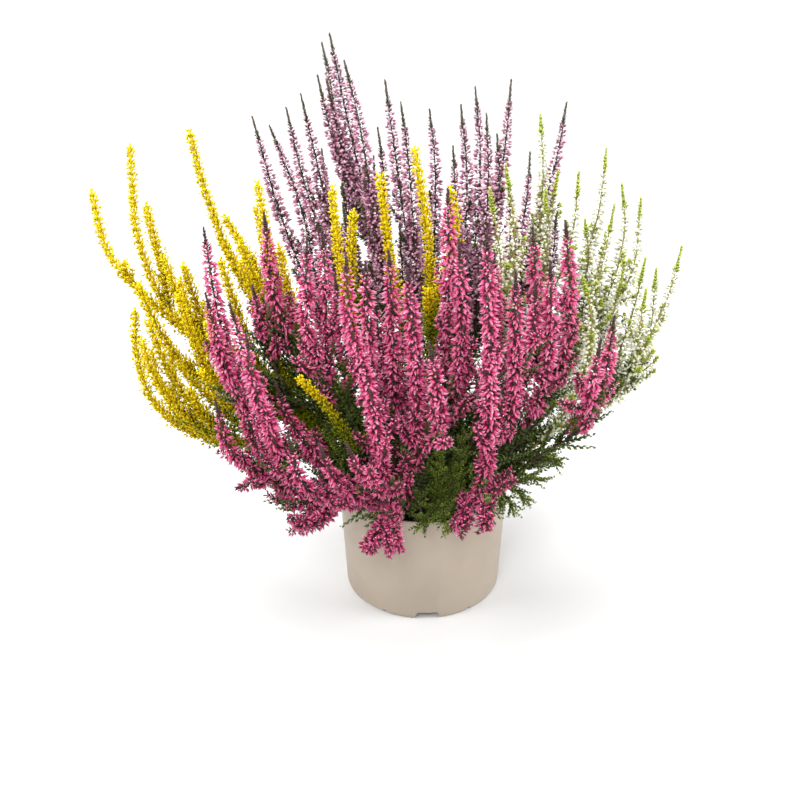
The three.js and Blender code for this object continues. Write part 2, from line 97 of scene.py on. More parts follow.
def pot_outline():
    """The cut face of the shell, from the edge of the pad under it out, up, and back to the floor inside,
    and which of its points lie on the standing ring."""
    gutter_top = gutter_height + pot_floor
    inside_foot = gutter_top + floor_rounding
    outer_foot = wall_radius(base_rounding) - base_rounding
    rim_curve_height = pot_height - rim_rounding
    pad = [(pad_radius, 0), (pad_radius + gutter_draft, gutter_height)]
    ring = [(gutter_outer_radius - gutter_draft, gutter_height), (gutter_outer_radius, 0)]
    ring += arc((outer_foot, base_rounding), base_rounding, -90, 0, 5)
    wall = [(wall_radius(z), z) for z in np.linspace(*straight_wall, 3)]
    rim = arc((rim_radius - rim_rounding, rim_curve_height), rim_rounding, 0, 90, 3)
    rim += arc((rim_radius - pot_wall + rim_rounding, rim_curve_height), rim_rounding, 90, 180, 3)
    inside = [(rim_radius - pot_wall - inner_lip_step, pot_height - inner_lip_depth)]
    inside += [(wall_radius(inside_foot) - pot_wall, inside_foot)]
    inside += [(wall_radius(gutter_top) - pot_wall - floor_rounding / 2, gutter_top)]
    inside += [(pad_radius - gutter_draft, gutter_top), (pad_radius - 2 * gutter_draft, pot_floor)]
    return np.array(pad + ring + wall + rim + inside), slice(len(pad), len(pad) + len(ring))


def notch_tops(bearings):
    """How high the base edge is cut away at each bearing."""
    tops = np.zeros(len(bearings))
    for notch in notches:
        for middle in notch["bearings"]:
            turned = (bearings - middle + 180) % 360 - 180
            across = np.abs(np.radians(turned)) * pot_base_radius
            into = (notch["width"] / 2 + notch["slant"] - across) / notch["slant"]
            tops = np.maximum(tops, notch["height"] * np.clip(into, 0, 1))
    return tops


def pot_bearings():
    """Where the columns of the pot's mesh stand: evenly, with more of them across the notches."""
    bearings = set(np.linspace(0, 360, columns_around_pot, endpoint=False))
    for notch in notches:
        reach = math.degrees((notch["width"] / 2 + notch["slant"]) / pot_base_radius)
        for middle in notch["bearings"]:
            bearings |= {(middle + x) % 360 for x in np.linspace(-reach, reach, columns_across_notch)}
    return np.array(sorted(bearings))


def turns(count):
    """Angles evenly round a circle."""
    return np.arange(count) * 2 * math.pi / count


def between_rings(rings, sides):
    """The faces of a wall made of rings of corners, one ring after another."""
    here = np.arange((rings - 1) * sides)
    beside = here // sides * sides + (here + 1) % sides
    return np.vstack([np.stack([here, beside, beside + sides], 1),
                      np.stack([here, beside + sides, here + sides], 1)])


def cap(start, sides, middle):
    """The faces that close a ring of corners by one more corner, in its middle."""
    here = start + np.arange(sides)
    return np.stack([here, np.roll(here, -1), np.full(sides, middle)], 1)


def closed_rings(rings, sides):
    """The faces of a shape made of rings, and closed by two more corners: one in the middle of its first
    ring, then one in the middle of its last."""
    count = rings * sides
    return np.vstack([between_rings(rings, sides), cap(0, sides, count)[:, ::-1],
                      cap(count - sides, sides, count + 1)])


def make_piece(name, corners, faces, material, chart=None):
    """A piece from corners in millimetres and faces with three corners, shaded smooth."""
    mesh = bpy.data.meshes.new(name)
    mesh.vertices.add(len(corners))
    mesh.vertices.foreach_set("co", (np.asarray(corners) * MILLIMETRE).ravel())
    mesh.loops.add(faces.size)
    mesh.loops.foreach_set("vertex_index", faces.ravel().astype(np.int32))
    mesh.polygons.add(len(faces))
    mesh.polygons.foreach_set("loop_start", np.arange(0, faces.size, 3, dtype=np.int32))
    mesh.polygons.foreach_set("use_smooth", np.ones(len(faces), bool))
    if chart is not None:
        layer = mesh.uv_layers.new(name="OFBake")
        layer.data.foreach_set("uv", chart[faces.ravel()].ravel())
    mesh.update(calc_edges=True)
    mesh.validate()
    mesh.materials.append(material)
    piece = bpy.data.objects.new(name, mesh)
    bpy.context.scene.collection.objects.link(piece)
    return piece


def colour(code):
    """Light from red, green and blue as a paint chart gives them, in six hex digits."""
    channels = [int(code[i:i + 2], 16) / 255 for i in (0, 2, 4)]
    return [c / 12.92 if c <= 0.04045 else ((c + 0.055) / 1.055) ** 2.4 for c in channels] + [1]


def grey(value):
    return [value] * 3 + [1]


def new_finish(name, roughness, gloss=0.5):
    """A material and what is needed to wire it: its nodes, its links and its shader."""
    material = bpy.data.materials.new(name)
    material.use_nodes = True
    nodes, links = material.node_tree.nodes, material.node_tree.links
    shader = nodes["Principled BSDF"]
    shader.inputs["Roughness"].default_value = roughness
    shader.inputs["Specular IOR Level"].default_value = gloss
    return material, nodes, links, shader


def colour_scale(nodes, links, value, stops, interpolation="LINEAR"):
    """Turns a value from 0 to 1 into a colour, by stops of position and colour."""
    node = nodes.new("ShaderNodeValToRGB")
    node.color_ramp.interpolation = interpolation
    elements = node.color_ramp.elements
    while len(elements) < len(stops):
        elements.new(1)
    for element, (position, chosen) in zip(elements, stops):
        element.position = position
        element.color = chosen
    links.new(value, node.inputs["Fac"])
    return node.outputs["Color"]


def mottle(nodes, links, coordinates, scale, detail, roughness=0.5):
    """Cloudy values, nearly all between 0.3 and 0.7. scale is the number of clouds to a metre."""
    node = nodes.new("ShaderNodeTexNoise")
    node.inputs["Scale"].default_value = scale
    node.inputs["Detail"].default_value = detail
    node.inputs["Roughness"].default_value = roughness
    links.new(coordinates, node.inputs["Vector"])
    return node.outputs["Fac"]


def raise_grain(nodes, links, shader, height, depth, strength=1.0):
    node = nodes.new("ShaderNodeBump")
    node.inputs["Distance"].default_value = depth
    node.inputs["Strength"].default_value = strength
    links.new(height, node.inputs["Height"])
    links.new(node.outputs["Normal"], shader.inputs["Normal"])


def taupe_plastic():
    """Taupe polypropylene: cloudy by a shade, with fine mould grain, and duller in places from handling."""
    material, nodes, links, shader = new_finish("taupe_plastic", 0.45, gloss=0.42)
    place = nodes.new("ShaderNodeTexCoord").outputs["Object"]
    clouds = mottle(nodes, links, place, scale=28, detail=4)
    tone = colour_scale(nodes, links, clouds, [(0.3, colour("9c8f80")), (0.7, colour("a49788"))])
    links.new(tone, shader.inputs["Base Color"])
    handling = mottle(nodes, links, place, scale=90, detail=3)
    dull = colour_scale(nodes, links, handling, [(0.3, grey(0.4)), (0.7, grey(0.52))])
    links.new(dull, shader.inputs["Roughness"])
    grain = mottle(nodes, links, place, scale=1400, detail=2)
    raise_grain(nodes, links, shader, grain, depth=0.00006, strength=0.5)
    return material


def pot_shell():
    """The outline carried round the axis. The ring and the wall above it rise to the top of each notch."""
    outline, ring = pot_outline()
    bearings = pot_bearings()
    radius = outline[:, :1]
    heights = np.repeat(outline[:, 1:], len(bearings), 1)
    heights[ring] = np.maximum(heights[ring], notch_tops(bearings))
    angles = np.radians(bearings)
    corners = np.stack([radius * np.sin(angles), -radius * np.cos(angles), heights], 2).reshape(-1, 3)
    corners = np.vstack([corners, [[0, 0, 0], [0, 0, pot_floor]]])
    return corners, closed_rings(len(outline), len(bearings))


def drain_pins():
    """Upright pins, each where a drain hole goes through the top of the gutter."""
    sides = drain_hole["corners"]
    half_step = math.pi / sides
    edge = np.stack([np.cos(turns(sides) + half_step), np.sin(turns(sides) + half_step)], 1)
    edge = edge * drain_hole["radius"]
    gutter_middle = (pad_radius + gutter_outer_radius) / 2
    middle_height = gutter_height + pot_floor / 2
    low, high = middle_height - 2 * pot_floor, middle_height + 2 * pot_floor
    corners, faces = [], []
    for bearing in np.radians(drain_hole["bearings"]):
        spot = gutter_middle * np.array([math.sin(bearing), -math.cos(bearing)])
        faces.append(closed_rings(2, sides) + len(corners))
        corners += [(*(spot + point), height) for height in (low, high) for point in edge]
        corners += [(*spot, low), (*spot, high)]
    return np.array(corners), np.vstack(faces)


def drill(piece, pins):
    """Cuts the pins out of a piece, and takes them away."""
    cut = piece.modifiers.new("drain_holes", "BOOLEAN")
    cut.operation = "DIFFERENCE"
    cut.solver = "EXACT"
    cut.object = pins
    drilled = piece.evaluated_get(bpy.context.evaluated_depsgraph_get())
    piece.data = bpy.data.meshes.new_from_object(drilled)
    piece.modifiers.clear()
    bpy.data.objects.remove(pins)


def nursery_pot():
    plastic = taupe_plastic()
    piece = make_piece("nursery_pot", *pot_shell(), plastic)
    drill(piece, make_piece("drain_pins", *drain_pins(), plastic))
    piece.data.set_sharp_from_angle(angle=math.radians(sharp_edge))
    return piece


pot = nursery_pot()
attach(pot, "root")
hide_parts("pot")


# The soil is damp dark peat, held together by fine roots, with loose crumbs lying on it. It was filled in
# round the root balls to a finger's breadth under the rim, and the leafy shoots hide nearly all of it.

soil_low, soil_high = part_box("soil")
soil_top = soil_high.z / MILLIMETRE
soil_bottom = soil_low.z / MILLIMETRE
soil_radius = soil_high.x / MILLIMETRE
soil_rings = 20
soil_spokes = 72
innermost_ring = 0.04
# The surface lies this far under the solid's top, and its lumps rise no further than this above it
soil_settling = 1.2
highest_lump = 1.5
pit_depth = 0.585
pit_sizes = 8
widest_pit = 26
wave_turn = 2.4
wave_start = 1.7
fine_pit_fade = 0.6
soil_taper = 6.5
wall_gap = 0.8
shoulder_depth = 10
crumb_count = 700
crumb_size = (0.7, 2.2)
crumb_squash = (0.3, 0.6)
crumb_spread = 0.97
crumb_sink = 0.9
crumb_scatter = 0.8
soil_draw = np.random.default_rng(5)


def unit(vectors):
    return vectors / np.maximum(np.linalg.norm(vectors, axis=-1, keepdims=True), 1e-9)


def damp_peat():
    material, nodes, links, shader = new_finish("damp_peat", 0.9, gloss=0.3)
    place = nodes.new("ShaderNodeTexCoord").outputs["Object"]
    grit = mottle(nodes, links, place, scale=700, detail=4, roughness=0.65)
    stops = [(0.3, colour("130c07")), (0.55, colour("2c1e13")), (0.8, colour("4d3826"))]
    links.new(colour_scale(nodes, links, grit, stops), shader.inputs["Base Color"])
    raise_grain(nodes, links, shader, grit, depth=0.0008)
    return material


def facing_out(corners, faces):
    """Turns each face of a convex shape so that it faces away from the shape's middle."""
    middle = corners.mean(0)
    turned = []
    for a, b, c in faces:
        normal = np.cross(corners[b] - corners[a], corners[c] - corners[a])
        outwards = np.dot(normal, (corners[a] + corners[b] + corners[c]) / 3 - middle) > 0
        turned.append((a, b, c) if outwards else (a, c, b))
    return np.array(turned)


def soil_body():
    """Rings up the side and over the surface, which is pitted by waves that run each its own way."""
    share = np.linspace(1, innermost_ring, soil_rings)
    turn = turns(soil_spokes)
    radius = soil_radius * share[:, None] * np.ones(soil_spokes)
    x, y = radius * np.cos(turn), radius * np.sin(turn)
    pits = np.zeros_like(x)
    for wave in range(1, pit_sizes + 1):
        bearing = wave_turn * wave
        phase = (x * math.cos(bearing) + y * math.sin(bearing)) * wave / widest_pit * 2 * math.pi
        pits += np.sin(phase + wave_start * wave) / wave ** fine_pit_fade
    z = np.minimum(soil_top - soil_settling + pit_depth * pits, soil_top + highest_lump)
    foot = (soil_radius - soil_taper, soil_bottom)
    shoulder = (soil_radius - wall_gap, soil_top - shoulder_depth)
    side = [np.stack([r * np.cos(turn), r * np.sin(turn), np.full(soil_spokes, height)], 1)
            for r, height in (foot, shoulder)]
    rings = side + list(np.stack([x, y, z], 2))
    corners = np.vstack(rings + [[[0, 0, soil_bottom], [0, 0, z[-1].mean()]]])
    return corners, closed_rings(len(rings), soil_spokes)


def crumbs():
    """Loose crumbs: eight-faced lumps, each squashed and turned its own way."""
    lump = np.array([[1, 0, 0], [0, 1, 0], [-1, 0, 0], [0, -1, 0], [0, 0, 1], [0, 0, -1]], float)
    sides = facing_out(lump, [(a, (a + 1) % 4, end) for a in range(4) for end in (4, 5)])
    spread = soil_radius * np.sqrt(soil_draw.random(crumb_count)) * crumb_spread
    turn = soil_draw.random(crumb_count) * 2 * math.pi
    size = soil_draw.uniform(*crumb_size, crumb_count)
    height = soil_top - crumb_sink + soil_draw.uniform(-crumb_scatter, crumb_scatter, crumb_count)
    middle = np.stack([spread * np.cos(turn), spread * np.sin(turn), height], 1)
    axes = unit(soil_draw.normal(size=(crumb_count, 3)))
    across = unit(np.cross(axes, soil_draw.normal(size=(crumb_count, 3))))
    basis = np.stack([across, np.cross(axes, across), axes], 1)
    shape = lump * soil_draw.uniform(*crumb_squash, (crumb_count, 6, 1)) * size[:, None, None]
    corners = middle[:, None] + shape @ basis
    faces = sides + 6 * np.arange(crumb_count)[:, None, None]
    return corners.reshape(-1, 3), faces.reshape(-1, 3)


soil_corners, soil_faces = soil_body()
crumb_corners, crumb_faces = crumbs()
soil = make_piece("peat_soil", np.vstack([soil_corners, crumb_corners]),
                  np.vstack([soil_faces, crumb_faces + len(soil_corners)]), damp_peat())
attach(soil, "root")
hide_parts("soil")


# Gold-leaved heather grows on the left, with shoots of it up through the middle, and doesn't flower. Its
# woody shoots are rooted in the soil, and carry scale leaves in four rows and short leafy twigs in pairs.
# The leaves are bright yellow at the tips, olive lower down, and green in the shade. Those that face up are
# painted paler, as lit, and those in the thick of the plant are painted darker, as shade.

stem_radius = 1.2
fork_radius = 0.85
stem_sides = 5
stem_step = 6.0
stem_taper = 0.8
stem_point = 0.5
# A stem's path begins this far above the soil, and its root goes this deep below that
stem_rise = 2
root_depth = 8
# A fork that is given by its tip alone bows out through this share of the way to it, across and up
bow = np.array([0.62, 0.62, 0.45])
# Even a low fork is without flowers for this share of its length
fork_bloom = 0.06
path_step = 1.0
bend_steps = 60


class Shoot:
    """A smooth path through points in millimetres, with the place and heading at any distance along it."""

    def __init__(self, points):
        points = np.array(points, float)
        ends = [2 * points[0] - points[1], *points, 2 * points[-1] - points[-2]]
        bends = []
        for before, start, end, after in zip(ends, ends[1:], ends[2:], ends[3:]):
            gap_in, gap, gap_out = (math.sqrt(np.linalg.norm(b - a))
                                    for a, b in ((before, start), (start, end), (end, after)))
            leave = ((start - before) / gap_in - (end - before) / (gap_in + gap) + (end - start) / gap) * gap
            arrive = ((end - start) / gap - (after - start) / (gap + gap_out) + (after - end) / gap_out) * gap
            t = np.linspace(0, 1, bend_steps, endpoint=False)[:, None]
            bends.append((2 * t ** 3 - 3 * t ** 2 + 1) * start + (t ** 3 - 2 * t ** 2 + t) * leave
                         + (3 * t ** 2 - 2 * t ** 3) * end + (t ** 3 - t ** 2) * arrive)
        line = np.vstack([*bends, points[-1:]])
        run = np.concatenate([[0], np.cumsum(np.linalg.norm(np.diff(line, axis=0), axis=1))])
        self.length = run[-1]
        self.marks = np.linspace(0, self.length, int(self.length / path_step) + 2)
        self.places = np.stack([np.interp(self.marks, run, line[:, i]) for i in range(3)], 1)
        self.headings = unit(np.gradient(self.places, axis=0))

    def at(self, distances):
        place, heading = (np.stack([np.interp(distances, self.marks, values[:, i]) for i in range(3)], 1)
                          for values in (self.places, self.headings))
        return place, unit(heading)


def shoots_of(foot, runs):
    """The shoots of one spray. The first stands at the foot, and the number before its points is the share
    of it below the first flowers. The others fork from it, each at the share of it that stands first, and
    flower from the same height up. A fork that stays lower flowers all the way."""
    shoots = []
    for share, *points in runs:
        if shoots:
            root = shoots[0].at([share * shoots[0].length])[0][0]
        else:
            root = np.array([*foot, soil_top + stem_rise], float)
        if len(points) == 1:
            tip = np.array(points[0], float)
            points = [root + (tip - root) * bow, tip]
        shoot = Shoot([root, *points])
        if not shoots:
            shoot.bloom = share * shoot.length
            bloom_height = shoot.at([shoot.bloom])[0][0, 2]
        else:
            above = shoot.places[:, 2] > bloom_height
            shoot.bloom = max(shoot.marks[above.argmax()], fork_bloom * shoot.length)
        shoots.append(shoot)
    return shoots


class Growth:
    """All that grows on one spray: corners, three-cornered faces, and where each corner lies on the chart."""

    def __init__(self):
        self.corners, self.faces, self.chart = [], [], []
        self.count = 0

    def add(self, corners, faces, chart):
        self.corners.append(corners.reshape(-1, 3))
        self.faces.append(faces.reshape(-1, 3) + self.count)
        self.chart.append(chart.reshape(-1, 2))
        self.count += corners.size // 3


def between(start, end, share):
    return start + (end - start) * share


# The chart that every plant is coloured by: a strip for each kind of surface runs up it, from the root of
# a leaf, bud or stem to its tip, and across it from the darkest or oldest of them to the palest or youngest,
# where darker also stands for painted shade and paler for painted light
strips = ("wood", "foot leaf", "shoot leaf", "bud")
strip_margin = 0.08
chart_margin = 0.02


def on_chart(strip, tint, up):
    """Chart coordinates for surfaces of one kind, with tint and up from 0 to 1."""
    height = (strips.index(strip) + between(strip_margin, 1 - strip_margin, up)) / len(strips)
    tint, height = np.broadcast_arrays(np.clip(tint, chart_margin, 1 - chart_margin), height)
    return np.stack([tint, height], -1)


def spread(draw, amount, count):
    """Chance values as far below nought as above it, up to an amount."""
    return draw.uniform(-amount, amount, count)


def square_to(heading, reference):
    """Two directions square to each heading and to each other. The reference turns them round it."""
    side = unit(np.cross(heading, reference))
    return side, np.cross(heading, side)


def spokes(heading, reference, sides):
    """Directions evenly round each heading, for the corners of a stem."""
    side, back = square_to(heading, reference)
    turn = turns(sides)[:, None]
    return side[:, None] * np.cos(turn) + back[:, None] * np.sin(turn)


def around(heading, turn):
    """Directions square to a heading, each turned its own way round it."""
    side, back = square_to(heading, [0.02, 1, 0.03])
    return side * np.cos(turn)[:, None] + back * np.sin(turn)[:, None]


# Painted shade: one side of a stem is painted darker than the other, by up to this share of the chart, either
# way
stem_shading = 0.06


def stem(growth, shoot, start_radius, end_radius, rooted, tint, strip="wood"):
    """A stem along a shoot, which runs into the soil if it is rooted there."""
    distances = np.append(np.arange(0, shoot.length, stem_step), shoot.length)
    place, heading = shoot.at(distances)
    share = distances / shoot.length
    radius = between(start_radius, end_radius, share ** stem_taper)
    if rooted:
        place = np.vstack([place[:1] - [0, 0, root_depth], place])
        heading = np.vstack([heading[:1], heading])
        radius = np.append(radius[0], radius)
        share = np.append(0, share)
    rings = place[:, None] + spokes(heading, [0, 1, 0], stem_sides) * radius[:, None, None]
    corners = np.vstack([rings.reshape(-1, 3), place[:1], place[-1:] + heading[-1:] * stem_point])
    up = np.append(np.repeat(share, stem_sides), [0, 1])
    # painted light and shade: the corners on one side of the stem are painted paler, and on the other darker
    sway = np.append(np.tile(np.sin(turns(stem_sides)), len(rings)), [0, 0])
    growth.add(corners, closed_rings(len(rings), stem_sides), on_chart(strip, tint + stem_shading * sway, up))


# A scale leaf is a little boat with its keel outwards: broadest near its middle, and pointed at both ends
leaf_points = np.array([[0, 0.1, 0], [-1, -0.5, 0.45], [1, -0.5, 0.45], [0, 0.15, 1]], float)
scale_leaf = (leaf_points, facing_out(leaf_points, [(0, 1, 2), (0, 1, 3), (0, 2, 3), (1, 2, 3)]))


# A plump leaf is the same, but swells outwards too
plump_points = np.array([[0, 0, 0], [-1, -0.4, 0.5], [1, -0.4, 0.5], [0, 0.9, 0.55], [0, 0.2, 1]], float)
plump_leaf = (plump_points, facing_out(plump_points, [(0, 1, 2), (1, 2, 4), (0, 1, 3), (0, 2, 3), (1, 3, 4),
                                                      (2, 3, 4)]))

# Nothing grows nearer than this to the pot's wall or over its rim, or roots deeper than this in the soil
wall_clearance = 0.6
rim_clearance = 0.3
soil_cover = 0.5


def clear_of_pot(places):
    """Which places lie neither in the wall of the pot nor in the soil."""
    x, y, z = places[:, 0], places[:, 1], places[:, 2]
    radius = np.hypot(x, y)
    wall = wall_radius(z)
    by_wall = (radius < wall + wall_clearance) & (radius > wall - pot_wall - wall_clearance)
    in_wall = (z < pot_height + rim_clearance) & by_wall
    in_soil = (z < soil_top - soil_cover) & (radius < wall)
    return ~(in_wall | in_soil)


# A leaf or bud is this much paler on one side than along its middle
side_tint = 0.02


def set_on(growth, shape, place, along, out, size, strip, tint):
    """Sets one copy of a shape at each place, along a direction and with its back towards out.
    size holds its width, depth and length, each half a width, half a depth and a whole length."""
    corners, faces = shape
    width, depth, length = (np.broadcast_to(s, len(place)) for s in size)
    kept = clear_of_pot(place) & clear_of_pot(place + along * length[:, None])
    place, along, out = place[kept], along[kept], out[kept]
    width, depth, length = width[kept], depth[kept], length[kept]
    tint = np.broadcast_to(tint, len(kept))[kept]
    side = unit(np.cross(out, along))
    back = np.cross(along, side)
    moved = place[:, None]
    for direction, share, scale in zip((side, back, along), corners.T, (width, depth, length)):
        moved = moved + direction[:, None] * (share * scale[:, None])[..., None]
    indices = faces + len(corners) * np.arange(len(place))[:, None, None]
    tints = tint[:, None] + side_tint * corners[:, 0]
    growth.add(moved, indices, on_chart(strip, tints, np.broadcast_to(corners[:, 2], tints.shape)))


# Leaves that face the sky are painted paler, as lit, than those facing down, painted as in shade, by this
# share of the chart's width
light_share = 0.16


def leaves(growth, place, heading, turn, offset, lean, size, strip, tint, shape=scale_leaf):
    """Scale leaves round a stem, their keels outwards. offset is how far their roots lie from the stem's
    middle, and lean how far they stand off it, in radians."""
    radial = around(heading, turn)
    lean = np.broadcast_to(lean, len(place))[:, None]
    along = heading * np.cos(lean) + radial * np.sin(lean)
    out = radial * np.cos(lean) - heading * np.sin(lean)
    # painted light: the more a leaf points up, the paler it is painted
    lit = np.clip(tint + light_share * along[:, 2], 0, 1)
    set_on(growth, shape, place + radial * offset, along, out, size, strip, lit)


def paired(distances, draw, wobble=0.35):
    """Pairs of facing leaves, each pair square to the next: their distances, and turns round the stem."""
    pair = np.repeat(np.arange(len(distances)), 2)
    facing = np.tile([0, math.pi], len(distances))
    return np.repeat(distances, 2), pair * math.pi / 2 + facing + spread(draw, wobble, len(pair))


# A twig's stem has rings of corners at these shares of its length, with these shares of its thickness
twig_rings = ((0.0, 1.0), (0.5, 0.8))
twig_sides = 3
twig_wobble = 0.3
# Its stem is darker than its leaves, and they grow paler towards its tip
twig_stem_tint = -0.2
twig_tip_tint = 0.14
# Its leaves lean out less, and are smaller, towards its tip. They are this deep for their width
twig_leaf_lean = (0.75, 0.4)
twig_leaf_size = (1.05, 0.7)
leaf_depth = 0.6


def twig_stems(growth, place, along, bend, length, thickness, strip, tint):
    """Slim bent stems, each with a flat root and a pointed tip."""
    ring = spokes(along, [0.3, 0.2, 1], twig_sides)
    levels = []
    for share, radius in twig_rings:
        middle = place + along * (length * share)[:, None] + bend * share ** 2
        levels.append(middle[:, None] + ring * thickness * radius)
    tips = place + along * length[:, None] + bend
    corners = np.concatenate([*levels, tips[:, None]], 1)
    last = (len(twig_rings) - 1) * twig_sides
    faces = np.vstack([[(0, 2, 1)], between_rings(len(twig_rings), twig_sides),
                       cap(last, twig_sides, last + twig_sides)])
    indices = faces + corners.shape[1] * np.arange(len(place))[:, None, None]
    up = np.append(np.repeat([between(0.1, 0.6, share) for share, _ in twig_rings], twig_sides), 1)
    sway = 0.03 * np.append(np.tile(np.arange(twig_sides), len(twig_rings)), 0)
    growth.add(corners, indices, on_chart(strip, tint[:, None] + twig_stem_tint + sway, up))


def twigs(growth, place, along, bend, length, thickness, leaf, strip, tint, draw, shape=scale_leaf):
    """Leafy twigs, each a slim bent stem with scale leaves in four rows. bend is how far its tip is drawn
    aside, thickness its stem's radius, and leaf the gap between pairs of leaves, their length and width."""
    gap, leaf_length, leaf_width = leaf
    kept = clear_of_pot(place) & clear_of_pot(place + along * length[:, None] + bend)
    place, along, bend, length, tint = place[kept], along[kept], bend[kept], length[kept], tint[kept]
    if not len(place):
        return
    twig_stems(growth, place, along, bend, length, thickness, strip, tint)

    pairs = np.maximum((length / gap).astype(int), 2)
    owner = np.repeat(np.arange(len(place)), pairs)
    order = np.arange(len(owner)) - np.repeat(np.cumsum(pairs) - pairs, pairs)
    share = np.repeat((order + 0.6) / pairs[owner], 2)
    owner, order = np.repeat(owner, 2), np.repeat(order, 2)
    count = len(order)
    facing = np.tile([0, math.pi], count // 2)
    turn = order * math.pi / 2 + facing + spread(draw, twig_wobble, count)
    heading = unit(along[owner] * length[owner, None] + 2 * bend[owner] * share[:, None])
    middle = place[owner] + along[owner] * (length[owner] * share)[:, None]
    middle = middle + bend[owner] * share[:, None] ** 2
    lean = between(*twig_leaf_lean, share) + spread(draw, 0.12, count)
    grown = between(*twig_leaf_size, share ** 2) * draw.uniform(0.85, 1.15, count)
    size = (leaf_width * grown, leaf_width * leaf_depth * grown, leaf_length * grown)
    paler = tint[owner] + twig_tip_tint * share + spread(draw, 0.1, count)
    leaves(growth, middle, heading, turn, thickness * 0.6, lean, size, strip, paler, shape)


# A twig's tip is drawn by this share of its length towards the stem's heading, and back along its own
twig_curve = 0.22
twig_recoil = 0.3


def fork_twigs(shoot, distances, turn, lean, length):
    """Where twigs leave a shoot, and how they curve: out from the stem, then up with it."""
    place, heading = shoot.at(distances)
    radial = around(heading, turn)
    along = unit(heading * np.cos(lean)[:, None] + radial * np.sin(lean)[:, None])
    bend = (heading - along * twig_recoil) * (twig_curve * length)[:, None]
    return place, along, bend


foot_leaf = (2.5, 3.6, 1.25)
foot_twig_radius = 0.6
foot_twig_lean = (0.5, 1.1)
# The last twigs of the foot stand closer to the stem than the first, by this much
foot_twig_closing = 0.25
foot_tints = (0.15, 0.6)
# A twig outside the pot has its tip at least this far above the rim
rim_headroom = 8


def leafy_foot(growth, shoot, start, end, kind, draw):
    """The dark leafy twigs that clothe the lower part of every shoot and hide the soil, longest low down."""
    gap = kind["foot_gap"]
    if end - start < gap:
        return
    distances = np.arange(start, end, gap)
    count = len(distances)
    distances = distances + spread(draw, 0.4, count) * gap
    share = np.clip((distances - start) / (end - start), 0, 1)
    length = between(*kind["foot_reach"], share) * draw.uniform(0.6, 1.25, count)
    lean = draw.uniform(*foot_twig_lean, count) - foot_twig_closing * share
    turn = draw.uniform(0, 2 * math.pi, count)
    place, along, bend = fork_twigs(shoot, distances, turn, lean, length)
    tint = draw.uniform(*foot_tints, count)
    # Twigs that would hang down outside the pot are left out
    tips = place + along * length[:, None] + bend
    rising = tips[:, 2] > np.maximum(place[:, 2], pot_height + rim_headroom)
    kept = rising | (np.hypot(tips[:, 0], tips[:, 1]) < rim_radius)
    twigs(growth, place[kept], along[kept], bend[kept], length[kept], foot_twig_radius, foot_leaf,
          "foot leaf", tint[kept], draw)


def chart_stops(swatches):
    """The colours up the chart at one place across it, strip by strip."""
    stops = []
    for strip, shades in enumerate(swatches):
        for share, code in zip(np.linspace(strip_margin, 1 - strip_margin, len(shades)), shades):
            stops.append(((strip + share) / len(strips), colour(code)))
    return stops


def mixed(nodes, links, first, second, share=None, way="MIX"):
    """Two colours mixed by a share of the second, or wholly where no share is given."""
    node = nodes.new("ShaderNodeMix")
    node.data_type = "RGBA"
    node.blend_type = way
    if share is None:
        node.inputs["Factor"].default_value = 1
    else:
        links.new(share, node.inputs["Factor"])
    # The sockets for colours are the seventh and the eighth
    links.new(first, node.inputs[6])
    links.new(second, node.inputs[7])
    return node.outputs[2]


def plant_material(name, strip_swatches, roughness, gloss=0.3):
    """The finish of one kind of plant. strip_swatches holds, for each strip that the plant has, its colours
    from root to tip at the dark end of the chart, in the middle and at the pale end. roughness has a value
    for each strip."""
    material, nodes, links, shader = new_finish(name, 0.5, gloss)
    chart = nodes.new("ShaderNodeUVMap")
    chart.uv_map = "OFBake"
    place = chart.outputs["UV"]
    parts = nodes.new("ShaderNodeSeparateXYZ")
    links.new(place, parts.inputs["Vector"])
    across, up = parts.outputs["X"], parts.outputs["Y"]
    dark, middle, pale = (colour_scale(nodes, links, up, chart_stops(swatches))
                          for swatches in zip(*strip_swatches))
    blended = dark
    for start, shades in ((0, middle), (0.5, pale)):
        share = nodes.new("ShaderNodeMapRange")
        share.inputs["From Min"].default_value = start
        share.inputs["From Max"].default_value = start + 0.5
        links.new(across, share.inputs["Value"])
        blended = mixed(nodes, links, blended, shades, share.outputs["Result"])
    clouds = mottle(nodes, links, place, scale=55, detail=2)
    stain = colour_scale(nodes, links, clouds, [(0.3, grey(0.78)), (0.7, grey(1.0))])
    links.new(mixed(nodes, links, blended, stain, way="MULTIPLY"), shader.inputs["Base Color"])
    stops = [(strip / len(strips), grey(value)) for strip, value in enumerate(roughness)]
    links.new(colour_scale(nodes, links, up, stops, "CONSTANT"), shader.inputs["Roughness"])
    veins = mottle(nodes, links, place, scale=160, detail=2)
    raise_grain(nodes, links, shader, veins, depth=0.00012, strength=0.6)
    return material


def grow(kind, rows, dress, material, seed):
    """Makes one piece for each spray in the rows, each standing for the spray's solid."""
    for number, (name, foot, *runs) in enumerate(rows):
        draw = np.random.default_rng(seed + number)
        growth = Growth()
        for order, shoot in enumerate(shoots_of(foot, runs)):
            rooted = order == 0
            start_radius = stem_radius if rooted else fork_radius
            stem(growth, shoot, start_radius, kind["tip_stem"], rooted, draw.uniform(0.2, 0.6),
                 kind["stem_strip"])
            dress(growth, shoot, kind, rooted, draw)
        piece = make_piece(name + "_shoots", np.vstack(growth.corners), np.vstack(growth.faces), material,
                           np.vstack(growth.chart))
        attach(piece, "root")
        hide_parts(name)


wood_swatches = (("32261e", "362a28"), ("604a3c", "54443e"), ("8c7660", "746252"))
foot_leaf_swatches = (("191f07", "2c390a"), ("3c4b12", "576c1c"), ("6e7e2c", "9aac44"))
gold_swatches = (("3a4a08", "8a9c0e"), ("987e04", "ffdc00"), ("e0b400", "fff420"))
gold_material = plant_material(
    "gold_heather", (wood_swatches, foot_leaf_swatches, gold_swatches),
    roughness=(0.8, 0.6, 0.55), gloss=0.18)

